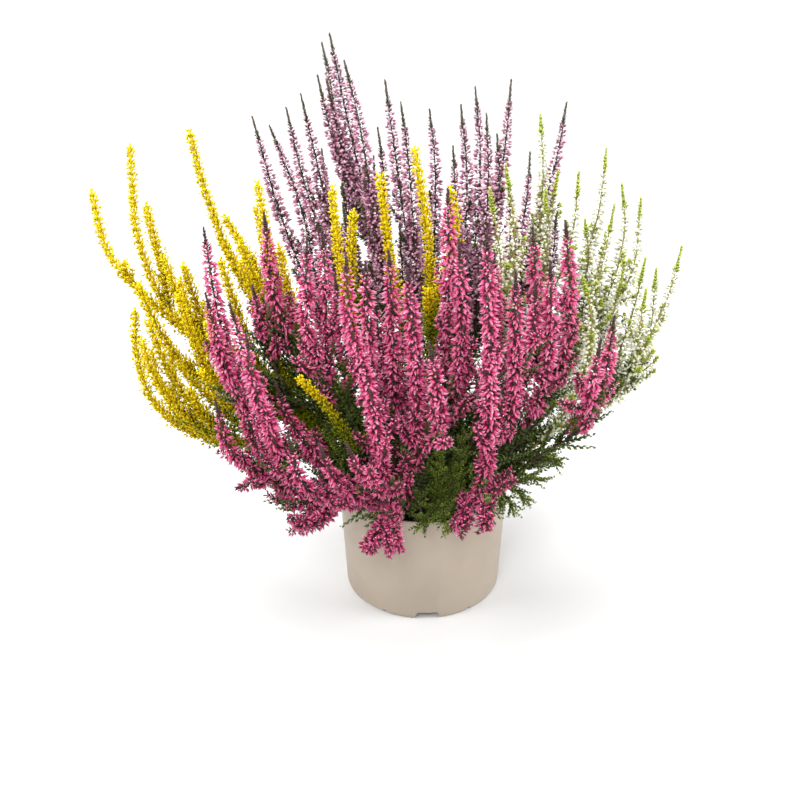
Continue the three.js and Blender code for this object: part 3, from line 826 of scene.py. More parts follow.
# leaf is the gap between pairs of leaves, their length and half their width, and a reach is the length of
# the lowest twigs and of the highest. foot is the share of the main stem below its gold leaves.
gold_heather = {
    "leaf": (2.3, 3.6, 1.15), "tip_stem": 0.9, "stem_strip": "shoot leaf",
    "twig_gap": 4.2, "twig_reach": (16, 4.4), "foot": 0.14, "foot_gap": 2.8, "foot_reach": (32, 20),
}

# Leaves in the thick of the plant get little light and stay green, and are also painted darker there, as
# shade: from lit_reach inwards they are painted greener and darker, and after shade_depth more they are as
# green and dark as they get
lit_reach = 175
shade_depth = 80
thick_of_plant = np.array([0, 0, 100])
deepest_shade = 0.75

gold_leaf_offset = 0.7
gold_leaf_lean = 0.55
gold_leaf_depth = 0.9
gold_twig_radius = 0.9
gold_twig_lean = (0.45, 0.7)
gold_twig_wobble = 0.25
# The first leaves of a fork, the last twigs, and how far the leafy foot reaches up between the gold leaves
fork_start = 4
twigless_tip = 3
foot_overlap = 20


def shade(places):
    """How much greener and darker leaves are painted near the middle: greener as in shade, darker as painted
    shade.
    """
    reach = np.linalg.norm(places - thick_of_plant, axis=1)
    return deepest_shade * np.clip((lit_reach - reach) / shade_depth, 0, 1)


def dress_gold(growth, shoot, kind, rooted, draw):
    """Leaves up the whole shoot, and short plump twigs in facing pairs, like an ear of wheat. The longest
    twigs grow low down."""
    gap, leaf_length, leaf_width = kind["leaf"]
    start = kind["foot"] * shoot.length if rooted else fork_start
    distances, turn = paired(np.arange(start, shoot.length + 0.5, gap), draw)
    place, heading = shoot.at(distances)
    share = distances / shoot.length
    grown = draw.uniform(0.9, 1.15, len(share)) * (1.15 - 0.3 * share ** 12)
    size = (leaf_width * grown, leaf_width * gold_leaf_depth * grown, leaf_length * grown)
    # painted shade: leaves near the middle of the plant are painted greener and darker
    tint = 0.12 + 0.75 * share ** 0.8 - shade(place) + spread(draw, 0.12, len(share))
    leaves(growth, place, heading, turn, gold_leaf_offset, gold_leaf_lean, size, "shoot leaf", tint,
           plump_leaf)

    spots = np.arange(start, shoot.length - twigless_tip, kind["twig_gap"])
    spots, turn = paired(spots, draw, gold_twig_wobble)
    spots = spots + spread(draw, 0.5, len(spots))
    share = np.clip(spots / shoot.length, 0, 1)
    length = between(*kind["twig_reach"], share ** 0.85) * draw.uniform(0.75, 1.2, len(spots))
    lean = draw.uniform(*gold_twig_lean, len(spots))
    place, along, bend = fork_twigs(shoot, spots, turn, lean, length)
    # painted light and shade: twigs that point up are painted paler, and those near the middle greener and
    # darker
    tint = 0.02 + 0.7 * share ** 0.7 + 0.2 * along[:, 2] + spread(draw, 0.15, len(spots)) - shade(place)
    twigs(growth, place, along, bend, length, gold_twig_radius, kind["leaf"], "shoot leaf", tint, draw,
          plump_leaf)
    if rooted:
        leafy_foot(growth, shoot, 6, start + foot_overlap, kind, draw)


# Each row is one spray: its name, where its foot stands on the soil, and its shoots. A shoot is a share of
# the first one, as shoots_of says, and the points that it grows through, to its tip.
gold_rows = [
    ["gold_far_left", [-36, 7],
     [0, [-90, 6, 138], [-180, 6, 218], [-214, 8, 262], [-223, 10, 308]],
     [0.76, [-203, -5, 262]],
     [0.5, [-168, 0, 232], [-176, 0, 264]]],
    ["gold_left_high", [-48, 10],
     [0, [-122, 22, 170], [-171, 26, 198], [-196, 32, 254], [-199, 36, 328]],
     [0.6, [-180, 18, 242], [-188, 16, 294]],
     [0.45, [-164, 4, 256]]],
    ["gold_left_tall", [-44, 21],
     [0, [-88, 30, 160], [-129, 38, 230], [-150, 46, 288], [-160, 50, 335]],
     [0.45, [-116, 26, 240], [-137, 30, 279]],
     [0.3, [-112, 16, 226], [-126, 12, 268]]],
    ["gold_left_low", [-49, -2],
     [0, [-60, -3, 102], [-92, -5, 112], [-155, -10, 126], [-188, -12, 156], [-198, -12, 198],
      [-197, -10, 228]],
     [0.6, [-176, -2, 190]]],
    ["gold_left_front", [-47, -13],
     [0, [-58, -15, 102], [-94, -20, 120], [-158, -26, 144], [-180, -30, 180], [-185, -28, 206]],
     [0.55, [-160, -36, 182]],
     [0.5, [-160, -30, 166], [-176, -30, 198], [-186, -30, 232]],
     [0.62, [-170, -38, 170], [-185, -38, 196], [-190, -36, 220]],
     [0.42, [-141, -20, 156], [-157, -20, 176], [-168, -22, 192]]],
    ["gold_left_inner", [-37, -5],
     [0, [-87, -8, 136], [-141, -8, 168], [-158, -7, 213], [-166, -6, 250]],
     [0.58, [-165, -14, 188], [-184, -14, 222], [-193, -14, 250]],
     [0.34, [-138, 2, 186], [-152, 4, 226]],
     [0.42, [-121, 0, 195], [-131, 0, 231], [-138, 0, 260]]],
    ["gold_left_fan", [-33, -16],
     [0, [-84, -20, 140], [-130, -24, 174], [-147, -26, 229]],
     [0.5, [-138, -32, 168], [-152, -36, 196]],
     [0.55, [-145, -20, 180], [-158, -20, 212], [-166, -20, 246]]],
    ["gold_behind_pink", [-21, 11],
     [0, [-84, 6, 190], [-102, 8, 250], [-112, 10, 314]],
     [0.45, [-92, -2, 236], [-98, -4, 274]],
     [0.3, [-94, 4, 165], [-112, 4, 212], [-124, 4, 258]],
     [0.22, [-84, -4, 142], [-103, -4, 182], [-112, -4, 218]]],
    ["gold_centre_left", [-19, -13],
     [0, [-47, -8, 200], [-58, -10, 272], [-61, -10, 320]],
     [0.5, [-50, 4, 256], [-48, 6, 295]],
     [0.2, [-50, -46, 146], [-66, -60, 182], [-84, -66, 208]]],
    ["gold_centre", [-3, -8],
     [0, [-14, 2, 204], [-24, 2, 268], [-30, 0, 324]]],
    ["gold_centre_right", [6, 4],
     [0, [4, 12, 215], [2, 14, 277], [-7, 15, 336]]],
    ["gold_right", [9, -12],
     [0, [6, -6, 188], [8, -12, 237], [20, -14, 288], [16, -14, 323]],
     [0.5, [2, -20, 249]]],
    ["gold_back", [-37, 32],
     [0, [-78, 76, 150], [-112, 108, 196], [-122, 118, 244]],
     [0.5, [-124, 88, 190], [-148, 100, 228]]],
]
grow(gold_heather, gold_rows, dress_gold, gold_material, 100)


# Lilac heather is the tallest, along the back, and rooted in the soil like the rest. Each shoot is a
# slender spike: small mauve buds on short stalks, set apart from each other, with dark olive leaves between
# them and a long leafy tip.

# A bud is a spindle with four sides, and swells just below its middle
bud_girth, bud_waist = 1.15, 0.42
bud_points = np.array([[0, 0, 0], [bud_girth, 0, bud_waist], [0, bud_girth, bud_waist],
                       [-bud_girth, 0, bud_waist], [0, -bud_girth, bud_waist], [0, 0, 1]])
bud_sides = [(side, side % 4 + 1, end) for end in (0, 5) for side in range(1, 5)]
bud = (bud_points, facing_out(bud_points, bud_sides))

# Painted shade: buds low on the plant are painted deeper in colour. The painted shade fades out upwards
# over the second of these lengths, and is gone at the first height
painted_shade_top = 205
painted_shade_fade = 80
# Half the width and depth of a bract. Bracts and leaves root this far out from the middle of the stem
bract_width, bract_depth = 0.55, 0.4
bract_offset = 0.4
spike_leaf_width, spike_leaf_depth = 0.75, 0.7
spike_leaf_offset = 0.4
tip_leaf_offset = 0.3
# The leaves of the tuft at the tip close up, and grow smaller and paler, from its foot to its end
tuft_lean = (0.75, 0.3)
tuft_size = (1.15, 0.65)
tuft_tint = (0.6, 0.85)


def flower_spike(growth, shoot, start, end, kind, draw, scale=1.0):
    """The flowering stretch of a shoot: pairs of buds, each with a bract under it. The buds nod low down,
    and grow smaller and stand up towards the tip."""
    distances, turn = paired(np.arange(start, end, kind["bud_gap"]), draw, kind["wobble"])
    kept = draw.random(len(distances)) < kind["fullness"]
    turn = turn[kept]
    count = len(turn)
    distances = distances[kept] + spread(draw, 0.5, count) * kind["bud_gap"]
    place, heading = shoot.at(distances)
    taper = min(kind["taper"], 0.7 * (end - start))
    young = 1 - np.clip((end - distances) / taper, 0, 1)
    length = between(*kind["bud_length"], young) * draw.uniform(0.84, 1.14, count) * scale
    width = length * kind["plumpness"] * draw.uniform(0.88, 1.12, count)
    rise = between(*kind["rise"], young)[:, None]
    hang = (kind["hang"] * (1 - young))[:, None]
    radial = around(heading, turn)
    along = radial + heading * rise - np.array([0, 0, 1]) * hang
    along = unit(along + draw.normal(0, kind["disorder"], along.shape))
    out = unit(np.cross(along, np.cross(np.array([0.1, 0.2, 1]), along)))
    stalk = (0.6 + kind["stalk"] * (1 - 0.7 * young) * scale)[:, None]
    # painted light: buds that point up are painted paler; painted shade: buds low on the plant are painted
    # deeper
    lit = np.clip(along[:, 2] + 0.5, 0, 1)
    shaded_low = np.clip((painted_shade_top - place[:, 2]) / painted_shade_fade, 0, 1)
    tint = 0.8 * draw.uniform(0, 1, count) ** kind["paleness"] + 0.15 * lit - kind["low_bud_shade"] * shaded_low
    set_on(growth, bud, place + radial * stalk, along, out, (width, width, length), "bud", tint)

    under = unit(np.cross(along, np.cross(heading, along)))
    some = draw.random(count) < kind["bracts"]
    size = (bract_width, bract_depth, kind["bract"] * draw.uniform(0.8, 1.2, some.sum()))
    set_on(growth, scale_leaf, (place + radial * bract_offset)[some], along[some], -under[some], size,
           "shoot leaf", draw.uniform(0.2, 0.7, some.sum()))


def spike_leaves(growth, shoot, start, end, kind, draw):
    """Small dark leaves up the spike, between its buds."""
    distances, turn = paired(np.arange(start, end, kind["leaf_gap"]), draw)
    place, heading = shoot.at(distances)
    lean = draw.uniform(*kind["leaf_lean"], len(turn))
    grown = draw.uniform(0.8, 1.2, len(turn))
    size = (spike_leaf_width * grown, spike_leaf_depth * grown, kind["leaf_length"] * grown)
    tint = 0.45 + draw.uniform(-0.3, 0.2, len(turn))
    leaves(growth, place, heading, turn, spike_leaf_offset, lean, size, "shoot leaf", tint)


def tip_leaves(growth, shoot, start, kind, draw):
    """The tuft of leaves above the last buds, which crowd together towards the tip."""
    distances, turn = paired(np.arange(start, shoot.length + 0.3, kind["tip_gap"]), draw)
    place, heading = shoot.at(distances)
    share = (distances - start) / max(shoot.length - start, 1)
    grown = between(*tuft_size, share) * draw.uniform(0.75, 1.25, len(turn))
    length, width = kind["tip_leaf"]
    size = (width * grown, width * grown, length * grown)
    tint = between(*tuft_tint, share) + spread(draw, 0.15, len(turn))
    lean = between(*tuft_lean, share) + spread(draw, 0.15, len(turn))
    leaves(growth, place, heading, turn, tip_leaf_offset, lean, size, "shoot leaf", tint)


side_stem_radius = (0.45, 0.3)
side_stem_tint = 0.4
side_bud_scale = 0.88
side_lean = (0.5, 0.95)


def side_spikes(growth, shoot, start, end, kind, draw):
    """Short flowering side shoots, longest low down, which fill the plant out below its tallest spikes."""
    gap = kind["side_gap"]
    spots = np.arange(start, end, gap)
    count = len(spots)
    spots = spots + spread(draw, 0.5, count) * gap
    share = np.clip((spots - start) / max(end - start, 1), 0, 1)
    length = between(*kind["side_reach"], share) * draw.uniform(0.55, 1.2, count)
    place, heading = shoot.at(spots)
    radial = around(heading, draw.uniform(0, 2 * math.pi, count))
    lean = draw.uniform(*side_lean, count)[:, None]
    along = unit(heading * np.cos(lean) + radial * np.sin(lean))
    for root, way, up, reach in zip(place, along, heading, length):
        branch = Shoot([root, root + way * reach * 0.5, root + (way * 0.75 + up * 0.25) * reach])
        last_bud = branch.length - min(kind["side_tip"], 0.3 * reach)
        flower_spike(growth, branch, 2.5, last_bud, kind, draw, side_bud_scale)
        spike_leaves(growth, branch, 1, last_bud, kind, draw)
        if kind["side_tip"]:
            tip_leaves(growth, branch, last_bud, kind, draw)
        stem(growth, branch, *side_stem_radius, False, side_stem_tint)


# A shoot whose tip rises less than this hangs down, and ends in a blunt cluster of buds
hanging_rise = 0.1
hanging_end = {"tip_reach": 1, "side_gap": 1.5, "side_reach": (9, 13), "side_part": 1}


def dress_flowering(growth, shoot, kind, rooted, draw):
    """Dresses a shoot with its leafy foot, its side shoots, its spike of buds and its leafy tip."""
    bloom = shoot.bloom
    if shoot.headings[-1, 2] < hanging_rise:
        kind = dict(kind, **hanging_end)
    tip = shoot.length - min(kind["tip_reach"] * draw.uniform(0.8, 1.2), 0.3 * shoot.length)
    flower_spike(growth, shoot, bloom, tip + 2, kind, draw)
    spike_leaves(growth, shoot, bloom * 0.5, tip, kind, draw)
    tip_leaves(growth, shoot, tip, kind, draw)
    side_spikes(growth, shoot, max(bloom - 10, 8), bloom + kind["side_part"] * (tip - bloom), kind, draw)
    leafy_foot(growth, shoot, 5 if rooted else 2, bloom + 12, kind, draw)


lilac_leaf_swatches = (("262216", "383424"), ("46322e", "5a4440"), ("524a32", "6c6848"))
lilac_bud_swatches = (("602c46", "945674", "b88098"), ("9c547a", "cc88a8", "e8bccc"),
                      ("c480a0", "f0c0d2", "fff4f8"))
lilac_material = plant_material(
    "lilac_heather", (wood_swatches, foot_leaf_swatches, lilac_leaf_swatches, lilac_bud_swatches),
    roughness=(0.8, 0.6, 0.55, 0.42))

# A gap is the distance up the shoot from one pair of buds or leaves, or from one twig or side shoot, to the
# next. fullness is the share of the buds that is there, and bracts the share of them with a bract. wobble
# and disorder are how far buds stray from their places and from their way. rise draws them up the shoot, and
# hang draws them down. Of two values, the first is for the foot of the stretch and the second for its end,
# but leaf_lean is a range, and tip_leaf the length and half the width of a leaf. The buds grow smaller over
# the last taper, the leafy tip is tip_reach long, and side shoots grow up side_part of the spike.
lilac_heather = {
    "bud_gap": 1.05, "fullness": 0.96, "wobble": 0.8, "taper": 40, "bud_length": (4.7, 2.8),
    "plumpness": 0.23, "rise": (0.1, 0.8), "hang": 0.1, "disorder": 0.3, "paleness": 0.9, "stalk": 1.3,
    # The first value on the next line is how much deeper the lowest buds are painted, as shade
    "low_bud_shade": 0.1, "bract": 2.8, "bracts": 0.85,
    "leaf_gap": 1.15, "leaf_lean": (0.4, 1.2), "leaf_length": 2.9,
    "tip_reach": 17, "tip_gap": 1.0, "tip_leaf": (3.0, 0.95), "tip_stem": 0.4, "stem_strip": "wood",
    "side_gap": 13, "side_reach": (30, 10), "side_part": 0.65, "side_tip": 4,
    "foot_gap": 3.2, "foot_reach": (34, 14),
}
lilac_rows = [
    ["lilac_left", [-31, 18],
     [0.42, [-70, 36, 190], [-98, 55, 261], [-118, 70, 335]],
     [0.45, [-86, 74, 262], [-108, 94, 318]]],
    ["lilac_left_pair", [-23, 28],
     [0.42, [-58, 42, 212], [-82, 54, 290], [-94, 60, 346]],
     [0.4, [-70, 80, 270], [-86, 98, 341]],
     [0.45, [-51, 40, 225], [-56, 40, 284]]],
    ["lilac_tallest", [-13, 34],
     [0.42, [-32, 62, 235], [-50, 84, 311], [-65, 96, 386]],
     [0.5, [-62, 74, 312], [-73, 78, 362]],
     [0.55, [-57, 78, 312], [-67, 80, 358]],
     [0.5, [-59, 85, 312], [-65, 90, 354], [-70, 90, 381]]],
    ["lilac_upright", [-12, 21],
     [0.42, [-32, 42, 250], [-44, 55, 335], [-54, 60, 380]],
     [0.5, [-28, 54, 300], [-32, 60, 332]],
     [0.35, [-44, 60, 212], [-52, 62, 250], [-57, 64, 288]]],
    ["lilac_middle", [0, 24],
     [0.42, [-6, 42, 240], [-11, 52, 310], [-16, 56, 351]],
     [0.45, [-16, 62, 280], [-27, 80, 358]],
     [0.4, [-13, 40, 215], [-17, 42, 268]]],
    ["lilac_middle_back", [-2, 37],
     [0.42, [8, 78, 240], [8, 95, 290], [4, 100, 328]],
     [0.4, [2, 106, 210], [-4, 138, 262]]],
    ["lilac_right_of_middle", [12, 21],
     [0.42, [26, 45, 222], [30, 62, 290], [25, 70, 344]],
     [0.5, [22, 36, 280], [19, 34, 329]]],
    ["lilac_right_back", [10, 35],
     [0.42, [38, 78, 246], [40, 96, 300], [36, 105, 342]],
     [0.4, [46, 104, 210], [56, 130, 256]]],
    ["lilac_right", [21, 10],
     [0.42, [40, 34, 228], [44, 50, 296], [42, 58, 343]]],
    ["lilac_right_tall", [21, 30],
     [0.42, [48, 58, 254], [57, 78, 316], [60, 90, 354]],
     [0.55, [52, 62, 285], [50, 64, 325]],
     [0.45, [84, 24, 238], [90, 22, 286]]],
    ["lilac_right_front", [24, -2],
     [0.42, [58, 22, 225], [70, 40, 286], [72, 48, 319]],
     [0.5, [58, 12, 270], [56, 16, 313]]],
    ["lilac_far_right", [31, 38],
     [0.42, [74, 58, 236], [92, 74, 300], [98, 80, 341]],
     [0.4, [84, 96, 216], [98, 126, 262]]],
    ["lilac_back_left", [-27, 41],
     [0.42, [-52, 94, 190], [-68, 128, 232], [-74, 140, 280]],
     [0.45, [-34, 118, 222], [-36, 136, 276]]],
]
grow(lilac_heather, lilac_rows, dress_flowering, lilac_material, 200)


# White-budded heather grows on the right, rooted in the soil beside the lilac one. Its buds are small and
# greenish white, its stems thin and straw-coloured, and its leafy tips are a fresh yellow-green.

white_wood_swatches = (("6b5636", "7c6840"), ("a48a56", "b8a464"), ("c8b478", "d4c684"))
white_leaf_swatches = (("485810", "667a18"), ("869a24", "a8bc38"), ("a8b838", "d0dc60"))
white_bud_swatches = (("a8a85c", "d6d8a8", "e8eac8"), ("c4c67c", "eeeed2", "fafaec"),
                      ("d8dcb0", "f6f7ec", "ffffff"))
white_material = plant_material(
    "white_heather", (white_wood_swatches, foot_leaf_swatches, white_leaf_swatches, white_bud_swatches),
    roughness=(0.8, 0.6, 0.5, 0.45))

white_heather = {
    "bud_gap": 1.5, "fullness": 0.85, "wobble": 0.7, "taper": 40, "bud_length": (5.0, 3.1),
    "plumpness": 0.22, "rise": (0.1, 0.9), "hang": 0.25, "disorder": 0.3, "paleness": 0.6, "stalk": 1.3,
    "low_bud_shade": 0.1, "bract": 2.4, "bracts": 0.6,
    "leaf_gap": 1.7, "leaf_lean": (0.4, 1.2), "leaf_length": 2.9,
    "tip_reach": 17, "tip_gap": 1.1, "tip_leaf": (3.8, 1.2), "tip_stem": 0.35, "stem_strip": "wood",
    "side_gap": 11, "side_reach": (32, 12), "side_part": 0.75, "side_tip": 4,
    "foot_gap": 3.0, "foot_reach": (30, 12),
}
white_rows = [
    ["white_front", [15, -18],
     [0.34, [50, -18, 200], [50, -20, 272], [42, -20, 323]],
     [0.55, [60, -4, 276], [53, 0, 331]]],
    ["white_tall", [30, 20],
     [0.34, [76, 38, 236], [82, 54, 296], [79, 62, 340]],
     [0.6, [92, 50, 303]]],
    ["white_middle", [36, 9],
     [0.34, [80, 14, 218], [84, 22, 265], [82, 28, 300]],
     [0.45, [100, 22, 262], [104, 28, 313]]],
    ["white_right_tall", [40, 28],
     [0.34, [102, 28, 217], [120, 42, 275], [124, 50, 320]],
     [0.5, [112, 14, 248], [108, 10, 286]]],
    ["white_right_front", [37, -3],
     [0.34, [86, -8, 150], [112, 0, 214], [122, 6, 262], [127, 10, 297]],
     [0.5, [118, 30, 222], [125, 32, 266]],
     [0.4, [122, 10, 180], [131, 10, 215], [136, 10, 247]]],
    ["white_right_pair", [46, 17],
     [0.34, [122, 20, 206], [138, 34, 264], [135, 40, 299]],
     [0.5, [142, 14, 243], [146, 20, 297]]],
    ["white_far_right", [49, 6],
     [0.34, [60, 5, 106], [98, 2, 130], [138, -6, 160], [154, -5, 200], [157, 0, 254]],
     [0.6, [145, -20, 212], [148, -22, 250]],
     [0.5, [162, 14, 205], [172, 22, 232], [177, 26, 258]],
     [0.5, [136, 0, 191], [144, 0, 226], [149, 0, 262]]],
    ["white_low_front", [33, -15],
     [0.34, [84, -24, 136], [106, -26, 176], [112, -30, 228], [104, -32, 266]]],
]
grow(white_heather, white_rows, dress_flowering, white_material, 300)


# Dark pink heather is planted in front. Its woody spikes are dense with long closed buds, deep pink at the
# root and pale at the tip. They nod on the lower part and stand up towards the purple-brown leafy tip, and
# the lower shoots flop over the rim.

pink_leaf_swatches = (("2a2c16", "3a3c20"), ("442e28", "583e34"), ("442830", "603e42"))
pink_bud_swatches = (("4a0818", "8e1c42", "b03464", "dc90ac"), ("740e34", "d23470", "ea6096", "fdd4e4"),
                     ("bc3068", "f470a2", "fc9cc0", "ffffff"))
pink_material = plant_material(
    "pink_heather", (wood_swatches, foot_leaf_swatches, pink_leaf_swatches, pink_bud_swatches),
    roughness=(0.8, 0.6, 0.5, 0.32), gloss=0.5)

pink_heather = {
    "bud_gap": 0.95, "fullness": 0.96, "wobble": 0.7, "taper": 20, "bud_length": (5.8, 3.4),
    "plumpness": 0.185, "rise": (-0.05, 0.9), "hang": 0.25, "disorder": 0.28, "paleness": 0.85, "stalk": 1.1,
    "low_bud_shade": 0.4, "bract": 2.4, "bracts": 0.5,
    "leaf_gap": 1.7, "leaf_lean": (0.4, 1.1), "leaf_length": 2.9,
    "tip_reach": 13, "tip_gap": 1.0, "tip_leaf": (3.1, 1.15), "tip_stem": 0.6, "stem_strip": "wood",
    "side_gap": 9, "side_reach": (32, 9), "side_part": 0.75, "side_tip": 0,
    "foot_gap": 2.4, "foot_reach": (34, 18),
}
pink_rows = [
    ["pink_far_left", [-43, -24],
     [0.28, [-62, -32, 102], [-84, -38, 82], [-113, -42, 136], [-136, -38, 228], [-145, -30, 300]],
     [0.35, [-116, -58, 130], [-132, -64, 152], [-140, -66, 190]],
     [0.55, [-132, -54, 205], [-144, -50, 262]]],
    ["pink_left", [-27, -41],
     [0.22, [-38, -48, 104], [-56, -56, 104], [-74, -60, 96], [-94, -64, 130], [-114, -62, 199],
      [-128, -56, 258]],
     [0.22, [-74, -72, 97], [-87, -73, 96]],
     [0.45, [-102, -80, 172], [-112, -84, 214], [-116, -82, 250]],
     [0.2, [-74, -56, 140], [-92, -58, 172], [-100, -58, 200]]],
    ["pink_low_left", [-15, -47],
     [0.2, [-22, -54, 103], [-42, -70, 110], [-66, -82, 122], [-84, -92, 147], [-90, -94, 180]],
     [0.3, [-50, -84, 128], [-62, -96, 152], [-70, -98, 176]]],
    ["pink_left_column", [-24, -2],
     [0.6, [-76, -12, 168], [-100, -16, 236], [-106, -20, 306]],
     [0.33, [-92, -16, 160], [-107, -16, 205], [-116, -16, 250]],
     [0.25, [-78, 4, 150], [-96, 6, 196], [-108, 8, 240]]],
    ["pink_left_middle", [-26, -26],
     [0.5, [-60, -36, 160], [-78, -42, 231], [-77, -42, 298]],
     [0.5, [-66, -26, 250], [-68, -24, 296]],
     [0.3, [-51, -34, 187], [-57, -34, 240], [-60, -34, 268]]],
    ["pink_front", [-10, -36],
     [0.2, [-22, -68, 112], [-28, -84, 146], [-36, -84, 205], [-48, -82, 252], [-51, -76, 304]],
     [0.16, [-28, -86, 107], [-36, -90, 87]],
     [0.17, [-22, -86, 109], [-21, -92, 90]],
     [0.25, [-44, -98, 156], [-52, -102, 180]]],
    ["pink_front_second", [-18, -32],
     [0.22, [-34, -54, 150], [-37, -62, 227], [-39, -62, 292]]],
    ["pink_front_third", [-10, -22],
     [0.35, [-20, -36, 153], [-21, -45, 232], [-24, -50, 293]],
     [0.3, [-28, -30, 185], [-33, -30, 248]]],
    ["pink_front_middle", [-2, -49],
     [0.3, [-4, -60, 134], [-6, -70, 209], [-12, -74, 293]],
     [0.35, [8, -74, 166], [8, -86, 212], [2, -90, 248]]],
    ["pink_middle", [3, -24],
     [0.45, [12, -22, 158], [16, -27, 252], [14, -32, 329]]],
    ["pink_middle_front", [2, -37],
     [0.4, [18, -46, 168], [24, -54, 244], [21, -58, 305]]],
    ["pink_front_right", [21, -44],
     [0.2, [26, -54, 104], [36, -70, 118], [42, -78, 150], [42, -80, 220], [38, -75, 320]],
     [0.14, [42, -84, 118], [42, -88, 107]],
     [0.12, [28, -80, 113], [24, -87, 104]]],
    ["pink_right_slender", [14, -34],
     [0.42, [40, -42, 170], [46, -48, 242], [44, -50, 294]]],
    ["pink_right_column", [32, -37],
     [0.4, [58, -60, 180], [58, -70, 245], [57, -74, 290]],
     [0.6, [70, -60, 238], [71, -58, 275]]],
    ["pink_right_second", [25, -26],
     [0.45, [74, -42, 160], [82, -54, 234], [80, -60, 291]]],
    ["pink_right_tall", [28, -14],
     [0.5, [84, -26, 172], [96, -38, 244], [90, -42, 311]],
     [0.42, [76, -24, 230], [70, -30, 300]]],
    ["pink_far_right", [45, -18],
     [0.5, [76, -34, 122], [108, -44, 156], [120, -52, 201], [124, -54, 247]],
     [0.6, [110, -66, 196], [114, -72, 240]]],
    ["pink_back", [8, 48],
     [0.3, [12, 57, 102], [24, 92, 126], [34, 136, 164], [34, 152, 212]],
     [0.45, [4, 128, 160], [-4, 150, 206]],
     [0.5, [60, 120, 160], [76, 128, 204]]],
]
grow(pink_heather, pink_rows, dress_flowering, pink_material, 400)


# Dark green leafy shoots without flowers grow low down, from the foot of the plants. They are woody and
# rooted like the others, hide the soil and spread over the rim, each with short twigs all round it.

green_leaf_swatches = (("1e2b08", "31430c"), ("4e6216", "6f8624"), ("889636", "b2c456"))
green_material = plant_material(
    "green_shoots", (wood_swatches, foot_leaf_swatches, green_leaf_swatches),
    roughness=(0.8, 0.6, 0.55))

green_shoots = {"leaf": (1.6, 2.5, 0.95), "tip_stem": 0.4, "stem_strip": "wood", "twig_gap": 1.15,
                "twig_reach": (15, 6)}
green_leaf_offset = 0.4
green_leaf_lean = 0.6
green_twig_radius = 0.45
green_twig_lean = (0.6, 0.95)


def dress_green(growth, shoot, kind, rooted, draw):
    """Leaves up the whole shoot, and leafy twigs to all sides of it, which grow shorter towards its tip."""
    gap, leaf_length, leaf_width = kind["leaf"]
    distances, turn = paired(np.arange(4, shoot.length, gap), draw)
    place, heading = shoot.at(distances)
    share = distances / shoot.length
    grown = draw.uniform(0.85, 1.15, len(share)) * (1 - 0.3 * share ** 4)
    size = (leaf_width * grown, leaf_width * leaf_depth * grown, leaf_length * grown)
    tint = between(0.3, 0.65, share) + spread(draw, 0.12, len(share))
    leaves(growth, place, heading, turn, green_leaf_offset, green_leaf_lean, size, "shoot leaf", tint)

    spots = np.arange(6, shoot.length - 4, kind["twig_gap"])
    share = spots / shoot.length
    length = between(*kind["twig_reach"], share) * draw.uniform(0.7, 1.3, len(spots))
    turn = draw.uniform(0, 2 * math.pi, len(spots))
    lean = draw.uniform(*green_twig_lean, len(spots))
    place, along, bend = fork_twigs(shoot, spots, turn, lean, length)
    tint = between(0.3, 0.6, share) + draw.uniform(-0.15, 0.2, len(spots))
    twigs(growth, place, along, bend, length, green_twig_radius, kind["leaf"], "shoot leaf", tint, draw)


green_rows = [
    ["green_front", [10, -48],
     [0, [12, -64, 104], [14, -78, 106], [16, -86, 96]],
     [0.5, [2, -78, 106], [-5, -84, 98]],
     [0.4, [18, -72, 108], [23, -76, 96]],
     [0.2, [10, -57, 124], [10, -61, 150]],
     [0.2, [20, -53, 114], [28, -53, 158]]],
    ["green_front_right", [40, -28],
     [0, [48, -37, 105], [62, -48, 108], [74, -54, 98]],
     [0.5, [58, -60, 106], [62, -68, 98]],
     [0.5, [74, -38, 110], [86, -40, 108]]],
    ["green_right", [49, -6],
     [0, [66, -8, 106], [82, -12, 110], [98, -14, 104]],
     [0.5, [84, -22, 116], [96, -26, 116]],
     [0.5, [80, -2, 104], [92, 2, 98]]],
    ["green_back_right", [20, 45],
     [0, [30, 61, 106], [37, 73, 106], [42, 84, 95]],
     [0.5, [54, 66, 108], [66, 66, 102]],
     [0.25, [30, 62, 124], [34, 68, 144]]],
    ["green_back_left", [-16, 46],
     [0, [-24, 64, 104], [-28, 76, 104], [-30, 86, 94]],
     [0.5, [-46, 66, 108], [-58, 68, 102]],
     [0.25, [-26, 62, 124], [-30, 68, 144]]],
    ["green_left", [-36, -33],
     [0, [-50, -44, 108], [-62, -48, 108], [-70, -54, 96]],
     [0.5, [-66, -42, 104], [-78, -48, 94]],
     [0.3, [-60, -38, 132], [-70, -38, 150]]],
]
grow(green_shoots, green_rows, dress_green, green_material, 500)


# The floor is one plain pale sheet, with nothing fixed to it. It is lit as in a studio, by large soft lights
# to the left, to the right, in front and overhead, and by a bright even surround. Metres and watts.

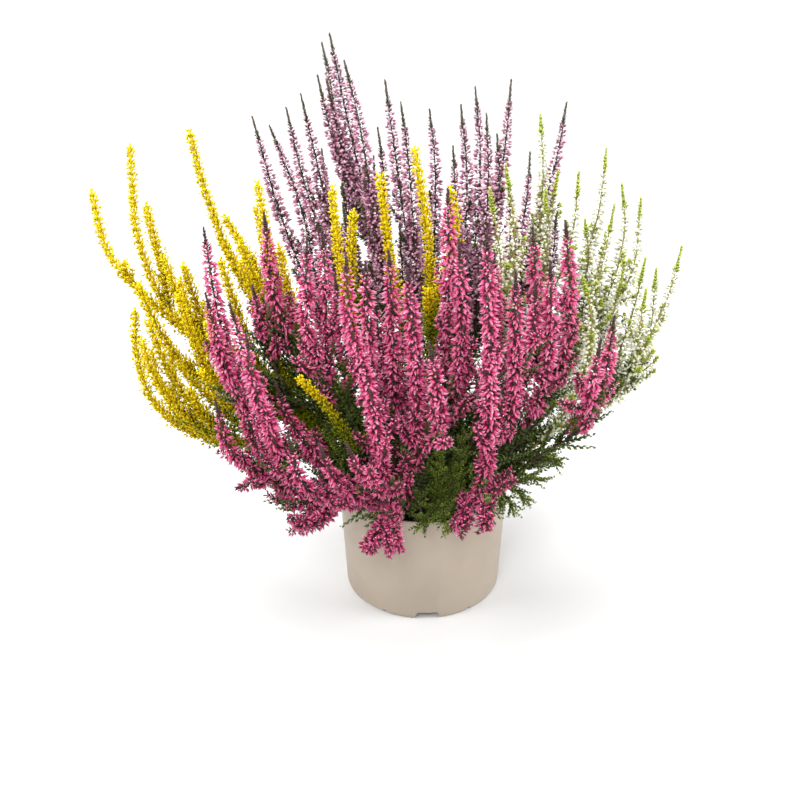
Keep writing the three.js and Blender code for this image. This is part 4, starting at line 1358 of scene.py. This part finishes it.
floor_half = 4.0
floor_corners = [(-floor_half, -floor_half, 0), (floor_half, -floor_half, 0), (floor_half, floor_half, 0),
                 (-floor_half, floor_half, 0)]
floor_mesh = bpy.data.meshes.new("studio_floor")
floor_mesh.from_pydata(floor_corners, [], [(0, 1, 2, 3)])
floor_material, _, _, floor_shader = new_finish("pale_floor", 0.9, gloss=0.1)
floor_shader.inputs["Base Color"].default_value = colour("d5d5d5")
floor_mesh.materials.append(floor_material)
floor = bpy.data.objects.new("studio_floor", floor_mesh)
bpy.context.scene.collection.objects.link(floor)

surround = bpy.data.worlds.new("studio")
bpy.context.scene.world = surround
surround.use_nodes = True
surround.node_tree.nodes["Background"].inputs["Color"].default_value = grey(1)
surround.node_tree.nodes["Background"].inputs["Strength"].default_value = 0.52

plant_middle = (0, 0, 0.2)
pot_top = (0, 0, 0.1)


def soft_light(name, place, aim, size, power):
    """A square soft light at a place, facing a point."""
    lamp = bpy.data.lights.new(name, "AREA")
    lamp.size = size
    lamp.energy = power
    light = bpy.data.objects.new(name, lamp)
    bpy.context.scene.collection.objects.link(light)
    away = np.array(place, float) - np.array(aim, float)
    level = math.hypot(away[0], away[1])
    light.location = place
    light.rotation_euler = (math.atan2(level, away[2]), 0, math.atan2(away[0], -away[1]))


soft_light("left_softbox", (-1.6, -0.5, 1.2), plant_middle, size=0.9, power=25)
soft_light("right_softbox", (1.6, -0.3, 1.1), plant_middle, size=0.9, power=30)
soft_light("front_softbox", (-0.3, -1.9, 1.7), plant_middle, size=0.8, power=29)
soft_light("overhead_softbox", (-0.4, 0.5, 2.2), pot_top, size=1.4, power=51)


# The camera stands where the photograph was taken: a little to the left, and well above the plant. Its
# height, distance and tilt were found from the shape of the pot's rim, base and taper.

camera_place = (-0.01673, -1.21044, 0.88591)
camera_tilt = 31.275
focal_length = 90.45
film_width = 36

camera_data = bpy.data.cameras.new("camera")
camera_data.lens = focal_length
camera_data.sensor_width = film_width
camera = bpy.data.objects.new("camera", camera_data)
bpy.context.scene.collection.objects.link(camera)
camera.location = camera_place
camera.rotation_euler = (math.radians(90 - camera_tilt), 0, 0)
bpy.context.scene.camera = camera
bpy.context.scene.view_settings.view_transform = "Standard"
